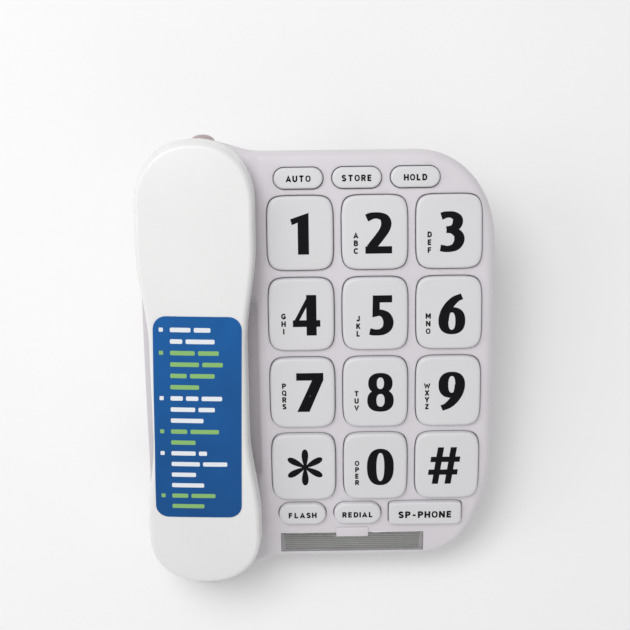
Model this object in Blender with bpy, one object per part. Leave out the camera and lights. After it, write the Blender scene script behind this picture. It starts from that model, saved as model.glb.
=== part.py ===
"""A big-button desk telephone: a wedge-shaped keypad base with a handset lying in a cradle on its left.

Metres, +Z up, +Y towards the back edge. The origin is on the surface under the middle of the telephone.
The deck, the base's top face, is part of a large cylinder whose axis runs along X, so it is steep at the
front and nearly level at the back. Keys stand square to it. The handset has its own tilted frame.
"""
import math

import bmesh
import bpy
from mathutils import Matrix, Vector

GAP = 0.0003                      # air between pieces that touch
SHELL_WALL = 0.0020

# The deck: radius, slope and place of the middle of the keypad.
DECK_RADIUS = 0.602
DECK_SLOPE = math.radians(13.28)
KEYPAD_X, KEYPAD_Y, KEYPAD_Z = 0.02674, 0.00625, 0.057
VALLEY_DEPTH = 0.003              # how far the deck sinks beside and under the handset
VALLEY_RIGHT, VALLEY_WIDTH = -0.0245, 0.008

# The base's outline, seen from above.
BASE_HALF_WIDTH = 0.083
BASE_BACK, BASE_FRONT = 0.1005, -0.0946
LOBE_BACK, LOBE_FRONT = 0.1063, -0.11013
FOOT_HEIGHT = 0.0025
FLOOR_THICKNESS = 0.002
PARTING_Z = 0.006

# Keys: column and row spacing, sizes, and how they stand in the deck.
KEY_PITCH_X, KEY_PITCH_Y = 0.03436, 0.03795
KEY_SIZE = (0.0305, 0.0344)
PILL_SIZE = (0.0227, 0.0098)
LOW_PILL_SIZE = (0.0228, 0.0112)
SPEAKER_KEY_SIZE = (0.0354, 0.0122)
KEY_RISE = 0.0024
KEY_CLEARANCE = 0.0003
FLANGE_WIDTH = 0.0006
FLANGE_TOP, FLANGE_BOTTOM = -0.0030, -0.0043

# The handset: its frame, outline and heights above the frame's own plane.
HANDSET_X, CRADLE_Y = -0.0552, 0.0006
HANDSET_HALF_LENGTH = 0.107
EAR_HALF_WIDTH, WAIST_HALF_WIDTH, MOUTH_HALF_WIDTH = 0.0274, 0.0226, 0.0269
EAR_CAP, MOUTH_CAP = 0.029, 0.026
HANDSET_TOP, HANDSET_TOP_RADIUS = 0.018, 0.650
PARTING_DROP = 0.0105             # from the top of the back shell to the joint of the two shells
HANDSET_WALL = 0.0022
CUP_LEVEL, GRIP_LEVEL, END_LEVEL = -0.0090, 0.0015, 0.0012
CRADLE_LEVEL = -0.0095
EAR_S, MOUTH_S = 0.068, -0.0745   # earpiece and microphone, along the handset
HANDSET_SCREWS = (0.022, -0.048)
VOLUME_SWITCH_S = -0.012
JACK_LEVEL = 0.0                  # middle of the cord socket, above the handset's plane at its mouth end
LABEL_LOW, LABEL_HIGH, LABEL_WIDTH = -0.0698, 0.0286, 0.0404
LABEL_X, LABEL_TURN = -0.0008, math.radians(-1.65)

# Fittings of the base.
WINDOW_ALONG, WINDOW_ACROSS = -0.0990, -0.0112
WINDOW_SIZE, CARD_SIZE = (0.0695, 0.0100), (0.0656, 0.0088)
LINE_JACK = Vector((0.020, BASE_BACK, 0.020))
SIDE_JACK = Vector((-BASE_HALF_WIDTH, -0.040, 0.0160))
JACK_BODY, JACK_SOCKET, JACK_DEPTH = 0.0126, 0.0070, 0.0146
LENS_PLACE = Vector((-0.053, LOBE_BACK, 0.0565))
LENS_RADIUS = 0.00575
PLUNGER_S, PLUNGER_RADIUS = 0.060, 0.0045
VOLUME_SLIDE = Vector((BASE_HALF_WIDTH, 0.030, 0.036))
BACK_SWITCHES = (("ringer_switch", 0.046), ("tone_pulse_switch", -0.004))
BACK_SWITCH_Z = 0.036
NUB_LENGTH, NUB_HALF_HEIGHT = 0.0050, 0.0014
MIC_PLACE = Vector((0.043, -0.0887, 0.0125))
SPEAKER_PLACE = Vector((0.036, 0.052, 0.0049))
SLOT_COUNT, SLOT_PITCH, SLOT_HALF_WIDTH, SLOTS_RADIUS = 7, 0.005, 0.001, 0.019
BUZZER_PLACE = (-0.014, 0.068)
CRADLE_DEPTH_AT_BOSS = 0.0078     # from the sunk deck to the middle of the cradle's floor
BOSS_PLACES = ((-0.066, 0.070), (0.065, 0.086), (-0.062, -0.018), (0.0548, -0.0865))
BOSS_RADIUS = 0.0035
FOOT_PLACES = ((-0.058, 0.084), (0.058, 0.076), (-0.058, -0.084), (0.058, -0.074))
KEYHOLES_Y = (0.036, -0.047)
ROWS = 10                         # rows of the net over the deck

WHITE = (0.90, 0.90, 0.895)
SHELL_GREY = (0.80, 0.785, 0.80)
KEY_GREY = (0.83, 0.83, 0.83)


def smooth(t):
    """A soft step from 0 to 1."""
    t = min(1.0, max(0.0, t))
    return t * t * (3.0 - 2.0 * t)


def mix(a, b, t):
    return a + (b - a) * t


# ---------------------------------------------------------------- the deck and the base's outline

DECK_CENTRE_Y = KEYPAD_Y + DECK_RADIUS * math.sin(DECK_SLOPE)
DECK_CENTRE_Z = KEYPAD_Z - DECK_RADIUS * math.cos(DECK_SLOPE)


def deck_height(x, y):
    """Height of the deck's surface over the point x, y."""
    arc = math.sqrt(DECK_RADIUS ** 2 - (y - DECK_CENTRE_Y) ** 2)
    return DECK_CENTRE_Z + arc - VALLEY_DEPTH * smooth((VALLEY_RIGHT - x) / VALLEY_WIDTH)


def deck_frame(along, across, lift=0.0):
    """Place on the deck: along its arc and across it from the keypad's middle. Z is its normal."""
    slope = DECK_SLOPE - along / DECK_RADIUS
    reach = DECK_RADIUS + lift
    place = Vector((KEYPAD_X + across, DECK_CENTRE_Y - reach * math.sin(slope),
                    DECK_CENTRE_Z + reach * math.cos(slope)))
    return Matrix.Translation(place) @ Matrix.Rotation(slope, 4, "X")


def corner(x, centre_x, reach_x, reach_y, power):
    """How far a rounded corner stands out in y at x."""
    t = min(1.0, abs(x - centre_x) / reach_x)
    return reach_y * (1.0 - t ** power) ** (1.0 / power)


def outline_back(x):
    if x > 0.045:
        return 0.056 + corner(x, 0.045, BASE_HALF_WIDTH - 0.045, BASE_BACK - 0.056, 2.15)
    if x > -0.052:
        return mix(BASE_BACK, LOBE_BACK, smooth((-0.024 - x) / 0.028))
    return 0.074 + corner(x, -0.052, BASE_HALF_WIDTH - 0.052, LOBE_BACK - 0.074, 2.1)


def outline_front(x):
    if x > 0.047:
        return -0.0426 - corner(x, 0.047, BASE_HALF_WIDTH - 0.047, -0.0426 - BASE_FRONT, 2.15)
    if x > -0.055:
        return mix(BASE_FRONT, LOBE_FRONT, smooth((-0.020 - x) / 0.035))
    return -0.080 - corner(x, -0.055, BASE_HALF_WIDTH - 0.055, -0.080 - LOBE_FRONT, 2.1)


def outline_stations():
    """Places along X where the outline is drawn, closer together at its rounded ends."""
    turns = [math.radians(15 * i) for i in range(6)]
    left = [-BASE_HALF_WIDTH + 0.031 * (1 - math.cos(t)) for t in turns]
    middle = [-0.052 + 0.0485 * i / 6 for i in range(7)] + [0.012, 0.030, 0.045]
    right = [BASE_HALF_WIDTH - 0.038 * (1 - math.cos(t)) for t in reversed(turns)]
    return left + middle + right


def base_ring():
    """The outline in order: front edge to the right, right side, back edge to the left, left side."""
    xs = outline_stations()
    front = [Vector((x, outline_front(x), 0)) for x in xs]
    back = [Vector((x, outline_back(x), 0)) for x in xs]
    right = [front[-1].lerp(back[-1], j / ROWS) for j in range(1, ROWS)]
    left = [back[0].lerp(front[0], j / ROWS) for j in range(1, ROWS)]
    return front + right + back[::-1] + left


def outward_at(ring, i):
    before = (ring[i] - ring[i - 1]).normalized()
    after = (ring[(i + 1) % len(ring)] - ring[i]).normalized()
    along = (before + after).normalized()
    return Vector((along.y, -along.x, 0))


def shrunk(ring, inset):
    """The ring moved inwards along its own normals. inset is a length, or a function of the normal."""
    moved = []
    for i, point in enumerate(ring):
        outward = outward_at(ring, i)
        moved.append(point - outward * (inset(outward) if callable(inset) else inset))
    return moved


def edge_radius(outward):
    """The deck's rounded rim: soft at the sides and back, crisp along the front."""
    return mix(0.0050, 0.0016, smooth(-outward.y * 1.6 - 0.4))


# ---------------------------------------------------------------- making solids

def new_mesh_object(name, rings, net=None):
    """A solid from a stack of equal rings, closed at both ends by flat faces or by a net."""
    bm = bmesh.new()
    loops = [[bm.verts.new(p) for p in ring] for ring in rings]
    for low, high in zip(loops, loops[1:]):
        for i in range(len(low)):
            j = (i + 1) % len(low)
            bm.faces.new((low[i], low[j], high[j], high[i]))
    if net:
        net(bm, loops[0], True)
        net(bm, loops[-1], False)
    else:
        bm.faces.new(loops[0][::-1])
        bm.faces.new(loops[-1])
    return finish_mesh(name, bm)


def finish_mesh(name, bm):
    bmesh.ops.remove_doubles(bm, verts=bm.verts, dist=0.000001)
    bmesh.ops.recalc_face_normals(bm, faces=bm.faces)
    mesh = bpy.data.meshes.new(name)
    bm.to_mesh(mesh)
    bm.free()
    thing = bpy.data.objects.new(name, mesh)
    bpy.context.scene.collection.objects.link(thing)
    return thing


def base_net(height):
    """A cap for the base's rings: rows and columns of faces under the height function."""
    columns = len(outline_stations())

    def cap(bm, loop, flip):
        front = loop[:columns]
        right = loop[columns:columns + ROWS - 1]
        back = loop[columns + ROWS - 1:2 * columns + ROWS - 1][::-1]
        left = loop[2 * columns + ROWS - 1:][::-1]
        net = [front]
        for j in range(1, ROWS):
            row = [left[j - 1]]
            for i in range(1, columns - 1):
                p = front[i].co.lerp(back[i].co, j / ROWS)
                row.append(bm.verts.new((p.x, p.y, height(p.x, p.y))))
            net.append(row + [right[j - 1]])
        net.append(back)
        for low, high in zip(net, net[1:]):
            for i in range(columns - 1):
                quad = (low[i], low[i + 1], high[i + 1], high[i])
                bm.faces.new(quad[::-1] if flip else quad)
    return cap


def cut(target, cutter, operation="DIFFERENCE"):
    """Cuts or joins another solid, then removes it."""
    modifier = target.modifiers.new("cut", "BOOLEAN")
    modifier.operation = operation
    modifier.object = cutter
    cutter.hide_render = True
    cutter.display_type = "WIRE"
    shape = bpy.data.meshes.new_from_object(target.evaluated_get(bpy.context.evaluated_depsgraph_get()))
    target.modifiers.clear()
    target.data = shape
    bpy.data.objects.remove(cutter)
    return target


def joined(parts):
    """One object from several that stay clear of each other."""
    bm = bmesh.new()
    for part in parts:
        part.data.transform(part.matrix_basis)
        bm.from_mesh(part.data)
        bpy.data.objects.remove(part)
    return finish_mesh("cutter", bm)


def box(name, low, high):
    low, high = Vector(low), Vector(high)
    ring = [Vector((low.x, low.y, 0)), Vector((high.x, low.y, 0)),
            Vector((high.x, high.y, 0)), Vector((low.x, high.y, 0))]
    return new_mesh_object(name, [[p + Vector((0, 0, z)) for p in ring] for z in (low.z, high.z)])


def box_about(name, front, back, half):
    """A box round the line from front to back, reaching half to each side of it."""
    return box(name, Vector(map(min, front - half, back - half)), Vector(map(max, front + half, back + half)))


def turned(name, profile, sides=16):
    """A solid turned round Z from (radius, height) pairs, bottom to top, closed flat at both ends."""
    rings = []
    for radius, height in profile:
        rings.append([Vector((radius * math.cos(a), radius * math.sin(a), height))
                      for a in (2 * math.pi * i / sides for i in range(sides))])
    return new_mesh_object(name, rings)


def placed(thing, matrix):
    thing.matrix_basis = matrix
    bpy.context.view_layer.update()
    return thing


def rotation_to(x=0.0, y=0.0, z=0.0, about="X", degrees=0.0):
    return Matrix.Translation((x, y, z)) @ Matrix.Rotation(math.radians(degrees), 4, about)


def coloured(thing, colour, roughness=0.4, metallic=0.0):
    """Its own material, and smooth faces with crisp edges."""
    paint = bpy.data.materials.new(thing.name)
    paint.use_nodes = True
    shader = paint.node_tree.nodes["Principled BSDF"]
    shader.inputs["Base Color"].default_value = (*colour, 1.0)
    shader.inputs["Roughness"].default_value = roughness
    shader.inputs["Metallic"].default_value = metallic
    thing.data.materials.clear()
    thing.data.materials.append(paint)
    thing.data.shade_smooth()
    thing.data.set_sharp_from_angle(angle=math.radians(35))
    return thing


# ---------------------------------------------------------------- keys

def rounded_ring(width, height, power, level, grow=0.0, sides=20):
    """A rounded rectangle, more square as power rises."""
    half_x, half_y = width / 2 + grow, height / 2 + grow
    ring = []
    for i in range(sides):
        a = 2 * math.pi * i / sides
        c, s = math.cos(a), math.sin(a)
        ring.append(Vector((math.copysign(abs(c) ** (2 / power), c) * half_x,
                            math.copysign(abs(s) ** (2 / power), s) * half_y, level)))
    return ring


def pill_ring(width, height, level, grow=0.0, sides=20):
    """A rectangle with half-round ends."""
    radius = height / 2 + grow
    straight = (width - height) / 2
    ring = []
    for i in range(sides):
        a = 2 * math.pi * (i + 0.5) / sides
        ring.append(Vector((math.copysign(straight, math.cos(a)) + radius * math.cos(a),
                            radius * math.sin(a), level)))
    return ring


def key_ring(kind, level, grow=0.0):
    if kind == "number":
        return rounded_ring(*KEY_SIZE, 6.0, level, grow)
    if kind == "pill":
        return pill_ring(*PILL_SIZE, level, grow)
    if kind == "low_pill":
        return pill_ring(*LOW_PILL_SIZE, level, grow)
    return rounded_ring(*SPEAKER_KEY_SIZE, 7.0, level, grow)


def key_places():
    """Name, kind and place on the deck of every key."""
    numbers = ("1", "2", "3", "4", "5", "6", "7", "8", "9", "star", "0", "hash")
    places = []
    for i, label in enumerate(numbers):
        row, column = divmod(i, 3)
        places.append(("key_" + label, "number", (1.5 - row) * KEY_PITCH_Y, (column - 1) * KEY_PITCH_X))
    for i, label in enumerate(("auto", "store", "hold")):
        places.append(("key_" + label, "pill", 0.0821, -0.0349 + 0.0269 * i))
    for i, label in enumerate(("flash", "redial")):
        places.append(("key_" + label, "low_pill", -0.0822, -0.0354 + 0.0268 * i))
    places.append(("key_speakerphone", "oblong", -0.0826, 0.0243))
    return places


def make_keys():
    levels = [(FLANGE_BOTTOM, FLANGE_WIDTH), (FLANGE_TOP, FLANGE_WIDTH), (FLANGE_TOP, 0.0),
              (KEY_RISE - 0.0009, 0.0), (KEY_RISE, -0.0011)]
    for name, kind, along, across in key_places():
        key = new_mesh_object(name, [key_ring(kind, level, grow) for level, grow in levels])
        coloured(placed(key, deck_frame(along, across)), KEY_GREY, 0.35)


def key_hole_cutter():
    holes = []
    for _, kind, along, across in key_places():
        hole = new_mesh_object("hole", [key_ring(kind, level, KEY_CLEARANCE) for level in (-0.012, 0.012)])
        holes.append(placed(hole, deck_frame(along, across)))
    return joined(holes)


# ---------------------------------------------------------------- the handset's frame and the cradle

HANDSET_TILT = DECK_SLOPE - (CRADLE_Y - KEYPAD_Y) / math.cos(DECK_SLOPE) / DECK_RADIUS
HANDSET_FRAME = (Matrix.Translation((HANDSET_X, CRADLE_Y, deck_height(KEYPAD_X, CRADLE_Y)))
                 @ Matrix.Rotation(HANDSET_TILT, 4, "X"))


def half_width(s):
    """Half the handset's width at s along it, ear end positive."""
    if s > 0:
        width = mix(WAIST_HALF_WIDTH, EAR_HALF_WIDTH, smooth((s - 0.014) / 0.046))
        reach, cap = HANDSET_HALF_LENGTH - EAR_CAP, EAR_CAP
    else:
        width = mix(WAIST_HALF_WIDTH, MOUTH_HALF_WIDTH, smooth((-s - 0.030) / 0.042))
        reach, cap = HANDSET_HALF_LENGTH - MOUTH_CAP, MOUTH_CAP
    t = min(1.0, max(0.0, abs(s) - reach) / cap)
    return width * (1.0 - t ** 2.2) ** (1 / 2.2)


def handset_stations():
    ear = [HANDSET_HALF_LENGTH - EAR_CAP * (1 - math.sin(math.radians(a))) for a in (22, 42, 58, 70, 80)]
    mouth = [-HANDSET_HALF_LENGTH + MOUTH_CAP * (1 - math.sin(math.radians(a))) for a in (22, 42, 58, 70, 80)]
    body = [mix(-HANDSET_HALF_LENGTH + MOUTH_CAP, HANDSET_HALF_LENGTH - EAR_CAP, i / 16) for i in range(17)]
    return mouth[::-1] + body + ear


def handset_ring():
    """The handset's outline: mouth tip, right side, ear tip, left side."""
    stations = handset_stations()
    right = [Vector((half_width(s), s, 0)) for s in stations]
    left = [Vector((-half_width(s), s, 0)) for s in reversed(stations)]
    return [Vector((0, -HANDSET_HALF_LENGTH, 0))] + right + [Vector((0, HANDSET_HALF_LENGTH, 0))] + left


def top_level(s):
    return HANDSET_TOP - s * s / (2 * HANDSET_TOP_RADIUS)


def deck_level(s):
    """The deck's surface in the handset's frame."""
    return -s * s / (2 * DECK_RADIUS)


def under_level(s):
    """The front shell's underside: two cups with the grip arched between them and both tips raised."""
    cup = smooth((s - 0.036) / 0.010) * smooth((0.095 - s) / 0.009)
    cup += smooth((-s - 0.060) / 0.010) * smooth((0.094 + s) / 0.010)
    rest = END_LEVEL if abs(s) > 0.08 else GRIP_LEVEL
    return deck_level(s) + mix(rest, CUP_LEVEL, min(1.0, cup))


def strip_net():
    """A cap for the handset's rings: strips from side to side."""
    def cap(bm, loop, flip):
        count = len(loop) // 2
        right, left = loop[1:count], loop[:count:-1]
        middle = []
        for a, b in zip(right, left):
            p = (a.co + b.co) / 2
            middle.append(bm.verts.new(p))
        faces = [(loop[0], right[0], middle[0]), (loop[0], middle[0], left[0]),
                 (right[-1], loop[count], middle[-1]), (middle[-1], loop[count], left[-1])]
        for i in range(len(middle) - 1):
            faces.append((right[i], right[i + 1], middle[i + 1], middle[i]))
            faces.append((middle[i], middle[i + 1], left[i + 1], left[i]))
        for face in faces:
            bm.faces.new(face[::-1] if flip else face)
    return cap


def handset_level(inset, level):
    return [Vector((p.x, p.y, level(p.y))) for p in shrunk(handset_ring(), inset)]


def in_handset(thing):
    """Puts a piece under the handset's frame."""
    thing.parent = bpy.data.objects["handset_frame"]
    return thing


def make_handset_back_shell():
    wall = HANDSET_WALL
    steps = [(0.0043, 0.0002), (0.0025, 0.0008), (0.0013, 0.0022), (0.0008, 0.0042), (0.0, PARTING_DROP),
             (wall, PARTING_DROP), (wall + 0.0008, 0.0050), (wall + 0.0028, 0.0030)]
    rings = [handset_level(inset, lambda s, d=drop: top_level(s) - d) for inset, drop in steps]
    shell = new_mesh_object("handset_back_shell", rings[::-1], net=strip_net())
    cut(shell, jack_slot())
    return coloured(in_handset(shell), WHITE, 0.3)


def make_handset_front_shell():
    def between(t):
        def level(s):
            top = top_level(s) - PARTING_DROP - GAP
            return mix(top, under_level(s), t)
        return level

    wall = HANDSET_WALL
    outer = [(0.0, 0.0), (0.0013, 0.22), (0.0027, 0.46), (0.0034, 0.86), (0.0055, 1.0)]
    rings = [handset_level(inset, between(t)) for inset, t in reversed(outer)]
    rings.append(handset_level(wall, between(0.0)))
    rings.append(handset_level(wall + 0.0027, between(0.40)))
    rings.append(handset_level(wall + 0.0042, lambda s: under_level(s) + wall))
    shell = new_mesh_object("handset_front_shell", rings, net=strip_net())
    holes = [jack_slot(), slot_in_grip()]
    holes += [placed(turned("hole", [(0.0009, -0.03), (0.0009, 0.0)], 8), rotation_to(x, EAR_S + y))
              for x, y in ear_hole_places()]
    holes += [placed(turned("hole", [(0.0009, -0.03), (0.0009, 0.0)], 8), rotation_to(x, MOUTH_S))
              for x in (-0.004, 0.0, 0.004)]
    for s in HANDSET_SCREWS:
        holes.append(placed(screw_pocket(), on_underside(s)))
    cut(shell, joined(holes))
    return coloured(in_handset(shell), WHITE, 0.3)


def ear_hole_places():
    ring = [(0.006 * math.cos(a), 0.006 * math.sin(a)) for a in (math.radians(60 * i) for i in range(6))]
    return [(0.0, 0.0)] + ring


def jack_slot():
    """The room for the cord socket through the mouth end of both shells."""
    return box("hole", (-0.0062, -0.120, JACK_LEVEL - 0.0052), (0.0062, -0.092, JACK_LEVEL + 0.0052))


def slot_in_grip():
    return box("hole", (-0.0022, VOLUME_SWITCH_S - 0.0052, -0.010),
               (0.0022, VOLUME_SWITCH_S + 0.0052, 0.0045))


def screw_pocket():
    """The hole that a screw's shank passes, with a recess for its head."""
    return turned("hole", [(0.0034, -0.004), (0.0034, 0.0010), (0.0017, 0.0010), (0.0017, 0.0045)], 12)


def make_screw(name, shank=0.006):
    """Pan head below, shank above, with a cross recess left to the finish."""
    return turned(name, [(0.0026, 0.0001), (0.0030, 0.0004), (0.0030, 0.0007), (0.0013, 0.0007),
                         (0.0013, shank)], 10)


def on_underside(s, x=0.0, lift=0.0):
    """A place on the front shell's underside, square to it."""
    return rotation_to(x, s, under_level(s), "X", -math.degrees(s / DECK_RADIUS)) @ rotation_to(0, 0, lift)


def make_handset_insides():
    profile = [(0.0165, 0.0), (0.0165, 0.0045), (0.0100, 0.0045), (0.0100, 0.0095)]
    capsule = turned("earpiece_capsule", profile, 20)
    place = on_underside(EAR_S, lift=HANDSET_WALL + 0.0005)
    coloured(in_handset(placed(capsule, place)), (0.08, 0.08, 0.08), 0.5)
    microphone = turned("handset_microphone", [(0.0048, 0.0), (0.0048, 0.0054)], 14)
    place = on_underside(MOUTH_S, lift=HANDSET_WALL + 0.0010)
    coloured(in_handset(placed(microphone, place)), (0.75, 0.75, 0.72), 0.35, 1.0)
    weight = box("handset_weight", (-0.012, 0.030, 0.0048), (0.012, 0.052, 0.0118))
    coloured(in_handset(weight), (0.45, 0.45, 0.46), 0.45, 1.0)
    board = box("handset_board", (-0.011, -0.040, 0.0072), (0.011, 0.012, 0.0086))
    coloured(in_handset(board), (0.10, 0.32, 0.16), 0.5)
    knob = box("handset_volume_switch", (-0.0018, VOLUME_SWITCH_S - 0.0030, 0.0008),
               (0.0018, VOLUME_SWITCH_S + 0.0010, 0.0062))
    coloured(in_handset(knob), (0.12, 0.12, 0.13), 0.5)
    jack = box("handset_jack", (-0.0058, -0.1050, JACK_LEVEL - 0.0048),
               (0.0058, -0.0925, JACK_LEVEL + 0.0048))
    cut(jack, box("hole", (-0.0039, -0.108, JACK_LEVEL - 0.0031), (0.0039, -0.0945, JACK_LEVEL + 0.0031)))
    coloured(in_handset(jack), (0.85, 0.85, 0.84), 0.4)
    for i, s in enumerate(HANDSET_SCREWS):
        screw = make_screw("handset_screw_%d" % (i + 1))
        coloured(in_handset(placed(screw, on_underside(s))), (0.6, 0.6, 0.6), 0.35, 1.0)


def make_handset_label():
    """A thin rounded sticker, put on a little askew, that follows the back shell's arch."""
    middle = (Matrix.Translation((LABEL_X, (LABEL_LOW + LABEL_HIGH) / 2, 0))
              @ Matrix.Rotation(LABEL_TURN, 4, "Z"))

    def level_ring(lift):
        ring = []
        for point in rounded_ring(LABEL_WIDTH, LABEL_HIGH - LABEL_LOW, 7.0, 0.0, sides=28):
            p = middle @ point
            ring.append(Vector((p.x, p.y, top_level(p.y) + lift)))
        return ring

    def strips(bm, loop, flip):
        """Strips across the sticker, matched by their place in the ring."""
        count = len(loop)
        quarter = count // 4
        for i in range(-quarter, quarter):
            a, b = loop[i % count], loop[(i + 1) % count]
            c, d = loop[(2 * quarter - i - 1) % count], loop[(2 * quarter - i) % count]
            face = [a, b, c, d] if i != quarter - 1 else [a, b, d]
            if i == -quarter:
                face = [a, b, c]
            bm.faces.new(face[::-1] if flip else face)

    sticker = new_mesh_object("handset_label", [level_ring(0.0001), level_ring(0.0004)], net=strips)
    return coloured(in_handset(sticker), (0.05, 0.16, 0.42), 0.35)


def cradle_cutter(grow):
    """The room for the handset's cups and for fingers under its grip, larger all round by grow."""
    sections = []
    for i in range(21):
        s = mix(-0.0955 - grow, 0.0975 + grow, i / 20)
        floor = deck_level(s) + CRADLE_LEVEL - grow
        side = max(0.004, half_width(min(s, 0.0975) if s > 0 else max(s, -0.0955)) - 0.0016 + grow)
        side = min(side, 0.0258 + grow)
        sections.append([Vector((-side, s, 0.06)), Vector((-side, s, floor)),
                         Vector((side, s, floor)), Vector((side, s, 0.06))])
    well = new_mesh_object("well", sections)
    fingers = []
    for i in range(13):
        s = mix(-0.0580 - grow, 0.0330 + grow, i / 12)
        deck = deck_level(s)
        left, floor = -0.045, CRADLE_LEVEL - grow - 0.0002
        fingers.append([Vector((left, s, 0.06)), Vector((left, s, deck + floor)),
                        Vector((0.0190, s, deck + floor)), Vector((0.0238 + grow, s, deck - 0.0068 - grow)),
                        Vector((0.0262 + grow, s, deck - 0.0030 - grow * 0.6)),
                        Vector((0.0277 + grow, s, deck + 0.0010)), Vector((0.0277 + grow, s, 0.06))])
    trough = new_mesh_object("trough", fingers)
    return placed(cut(well, trough, "UNION"), HANDSET_FRAME)


# ---------------------------------------------------------------- the base

def ring_at(ring, height):
    return [Vector((p.x, p.y, height(p.x, p.y) if callable(height) else height)) for p in ring]


def base_block(name, bottom, inset, sink, rim=1.0):
    """The base as a solid block with a rounded rim, for the outside or, inset and sunk, for the inside."""
    plain = base_ring()
    rings = [ring_at(shrunk(plain, inset), bottom)]
    for degrees in (0, 45, 90):
        a = math.radians(degrees)
        rounded = []
        for i, p in enumerate(shrunk(plain, lambda n: inset + rim * edge_radius(n) * (1 - math.cos(a)))):
            drop = rim * edge_radius(outward_at(plain, i)) * (1 - math.sin(a))
            rounded.append(Vector((p.x, p.y, deck_height(p.x, p.y) - sink - drop)))
        rings.append(rounded)
    net = base_net(lambda x, y: deck_height(x, y) - sink)

    def cap(bm, loop, flip):
        if flip:
            bm.faces.new(loop[::-1])
        else:
            net(bm, loop, flip)
    return new_mesh_object(name, rings, net=cap)


def window_pocket():
    frame = deck_frame(WINDOW_ALONG, WINDOW_ACROSS)
    pocket = box("hole", (-WINDOW_SIZE[0] / 2 - GAP, -WINDOW_SIZE[1] / 2 - GAP, -0.0017),
                 (WINDOW_SIZE[0] / 2 + GAP, WINDOW_SIZE[1] / 2 + GAP, 0.004))
    return placed(pocket, frame)


def lens_profile(extra=0.0):
    """Radius and reach of the lens along its axis, a plug that ends in a flattened dome."""
    profile = [(LENS_RADIUS + extra, -0.0032 - extra), (LENS_RADIUS + extra, 0.0003)]
    for degrees in (25, 50, 72):
        a = math.radians(degrees)
        profile.append(((LENS_RADIUS + extra) * math.cos(a), 0.0003 + 0.0032 * math.sin(a)))
    profile.append((0.0006, 0.0035))
    return profile


def make_base_top_shell():
    shell = base_block("base_top_shell", PARTING_Z + GAP, 0.0, 0.0)
    cut(shell, cradle_cutter(0.0))
    inside = base_block("inside", PARTING_Z - 0.003, SHELL_WALL, SHELL_WALL, rim=0.5)
    cut(inside, cradle_cutter(SHELL_WALL))
    cut(shell, inside)
    bosses = []
    for x, y in BOSS_PLACES:
        above = deck_height(x, y) - (CRADLE_DEPTH_AT_BOSS if x < 0 else SHELL_WALL / 2)
        boss = turned("boss", [(BOSS_RADIUS, FOOT_HEIGHT + FLOOR_THICKNESS + GAP), (BOSS_RADIUS, above)], 10)
        bosses.append(placed(boss, rotation_to(x, y)))
    cut(shell, key_hole_cutter())
    holes = [window_pocket()]
    half = JACK_BODY / 2 + GAP
    holes.append(box("hole", LINE_JACK - Vector((half, 0.006, half)),
                     LINE_JACK + Vector((half, 0.004, half))))
    holes.append(box("hole", SIDE_JACK - Vector((0.004, half, half)),
                     SIDE_JACK + Vector((0.006, half, half))))
    lens = turned("hole", [(LENS_RADIUS + GAP, -0.006), (LENS_RADIUS + GAP, 0.004)], 20)
    holes.append(placed(lens, Matrix.Translation(LENS_PLACE) @ Matrix.Rotation(math.radians(-90), 4, "X")))
    plunger = turned("hole", [(PLUNGER_RADIUS + 0.0005, -0.02), (PLUNGER_RADIUS + 0.0005, 0.0)], 16)
    holes.append(placed(plunger, HANDSET_FRAME @ rotation_to(0, PLUNGER_S)))
    holes.append(box("hole", VOLUME_SLIDE - Vector((0.006, 0.008, 0.0017)),
                     VOLUME_SLIDE + Vector((0.004, 0.008, 0.0017))))
    holes.append(box("hole", VOLUME_SLIDE - Vector((0.0012, 0.010, 0.0034)),
                     VOLUME_SLIDE + Vector((0.004, 0.010, 0.0034))))
    for _, x in BACK_SWITCHES:
        place = Vector((x, BASE_BACK, BACK_SWITCH_Z))
        holes.append(box("hole", place - Vector((0.0052, 0.006, 0.0017)),
                         place + Vector((0.0052, 0.004, 0.0017))))
    for hole in holes:
        cut(shell, hole)
    for boss in bosses:
        cut(shell, boss, "UNION")
    return coloured(shell, SHELL_GREY, 0.4)


def make_base_bottom_shell():
    floor_top = FOOT_HEIGHT + FLOOR_THICKNESS
    steps = [(SHELL_WALL, floor_top), (SHELL_WALL, PARTING_Z), (0.0, PARTING_Z),
             (0.0, FOOT_HEIGHT + 0.0012), (0.0012, FOOT_HEIGHT)]
    rings = [ring_at(shrunk(base_ring(), inset), z) for inset, z in steps]
    shell = new_mesh_object("base_bottom_shell", rings)
    holes = [placed(screw_pocket(), rotation_to(x, y, FOOT_HEIGHT)) for x, y in BOSS_PLACES]
    for y in KEYHOLES_Y:
        hole = turned("hole", [(0.0042, -0.001), (0.0042, 0.003)], 12)
        slot = box("slot", (-0.0022, y, FOOT_HEIGHT - 0.001), (0.0022, y + 0.010, FOOT_HEIGHT + 0.003))
        holes.append(cut(placed(hole, rotation_to(0, y, FOOT_HEIGHT)), slot, "UNION"))
    for i in range(SLOT_COUNT):
        across = SLOT_PITCH * (i - SLOT_COUNT // 2)
        half = Vector((SLOT_HALF_WIDTH, math.sqrt(SLOTS_RADIUS ** 2 - across ** 2), 0))
        place = Vector((SPEAKER_PLACE.x + across, SPEAKER_PLACE.y, 0))
        holes.append(box("hole", place - half, place + half + Vector((0, 0, floor_top + 0.0005))))
    cut(shell, joined(holes))
    return coloured(shell, SHELL_GREY, 0.45)


def curved_sheet(name, low, high, left, right, thickness, level):
    """A sheet that follows the deck's arc at a set depth."""
    sections = []
    for i in range(11):
        frame = deck_frame(mix(low, high, i / 10), 0.0)
        corners = [(left, level), (right, level), (right, level + thickness), (left, level + thickness)]
        sections.append([frame @ Vector((x, 0, z)) for x, z in corners])
    return new_mesh_object(name, sections)


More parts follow.
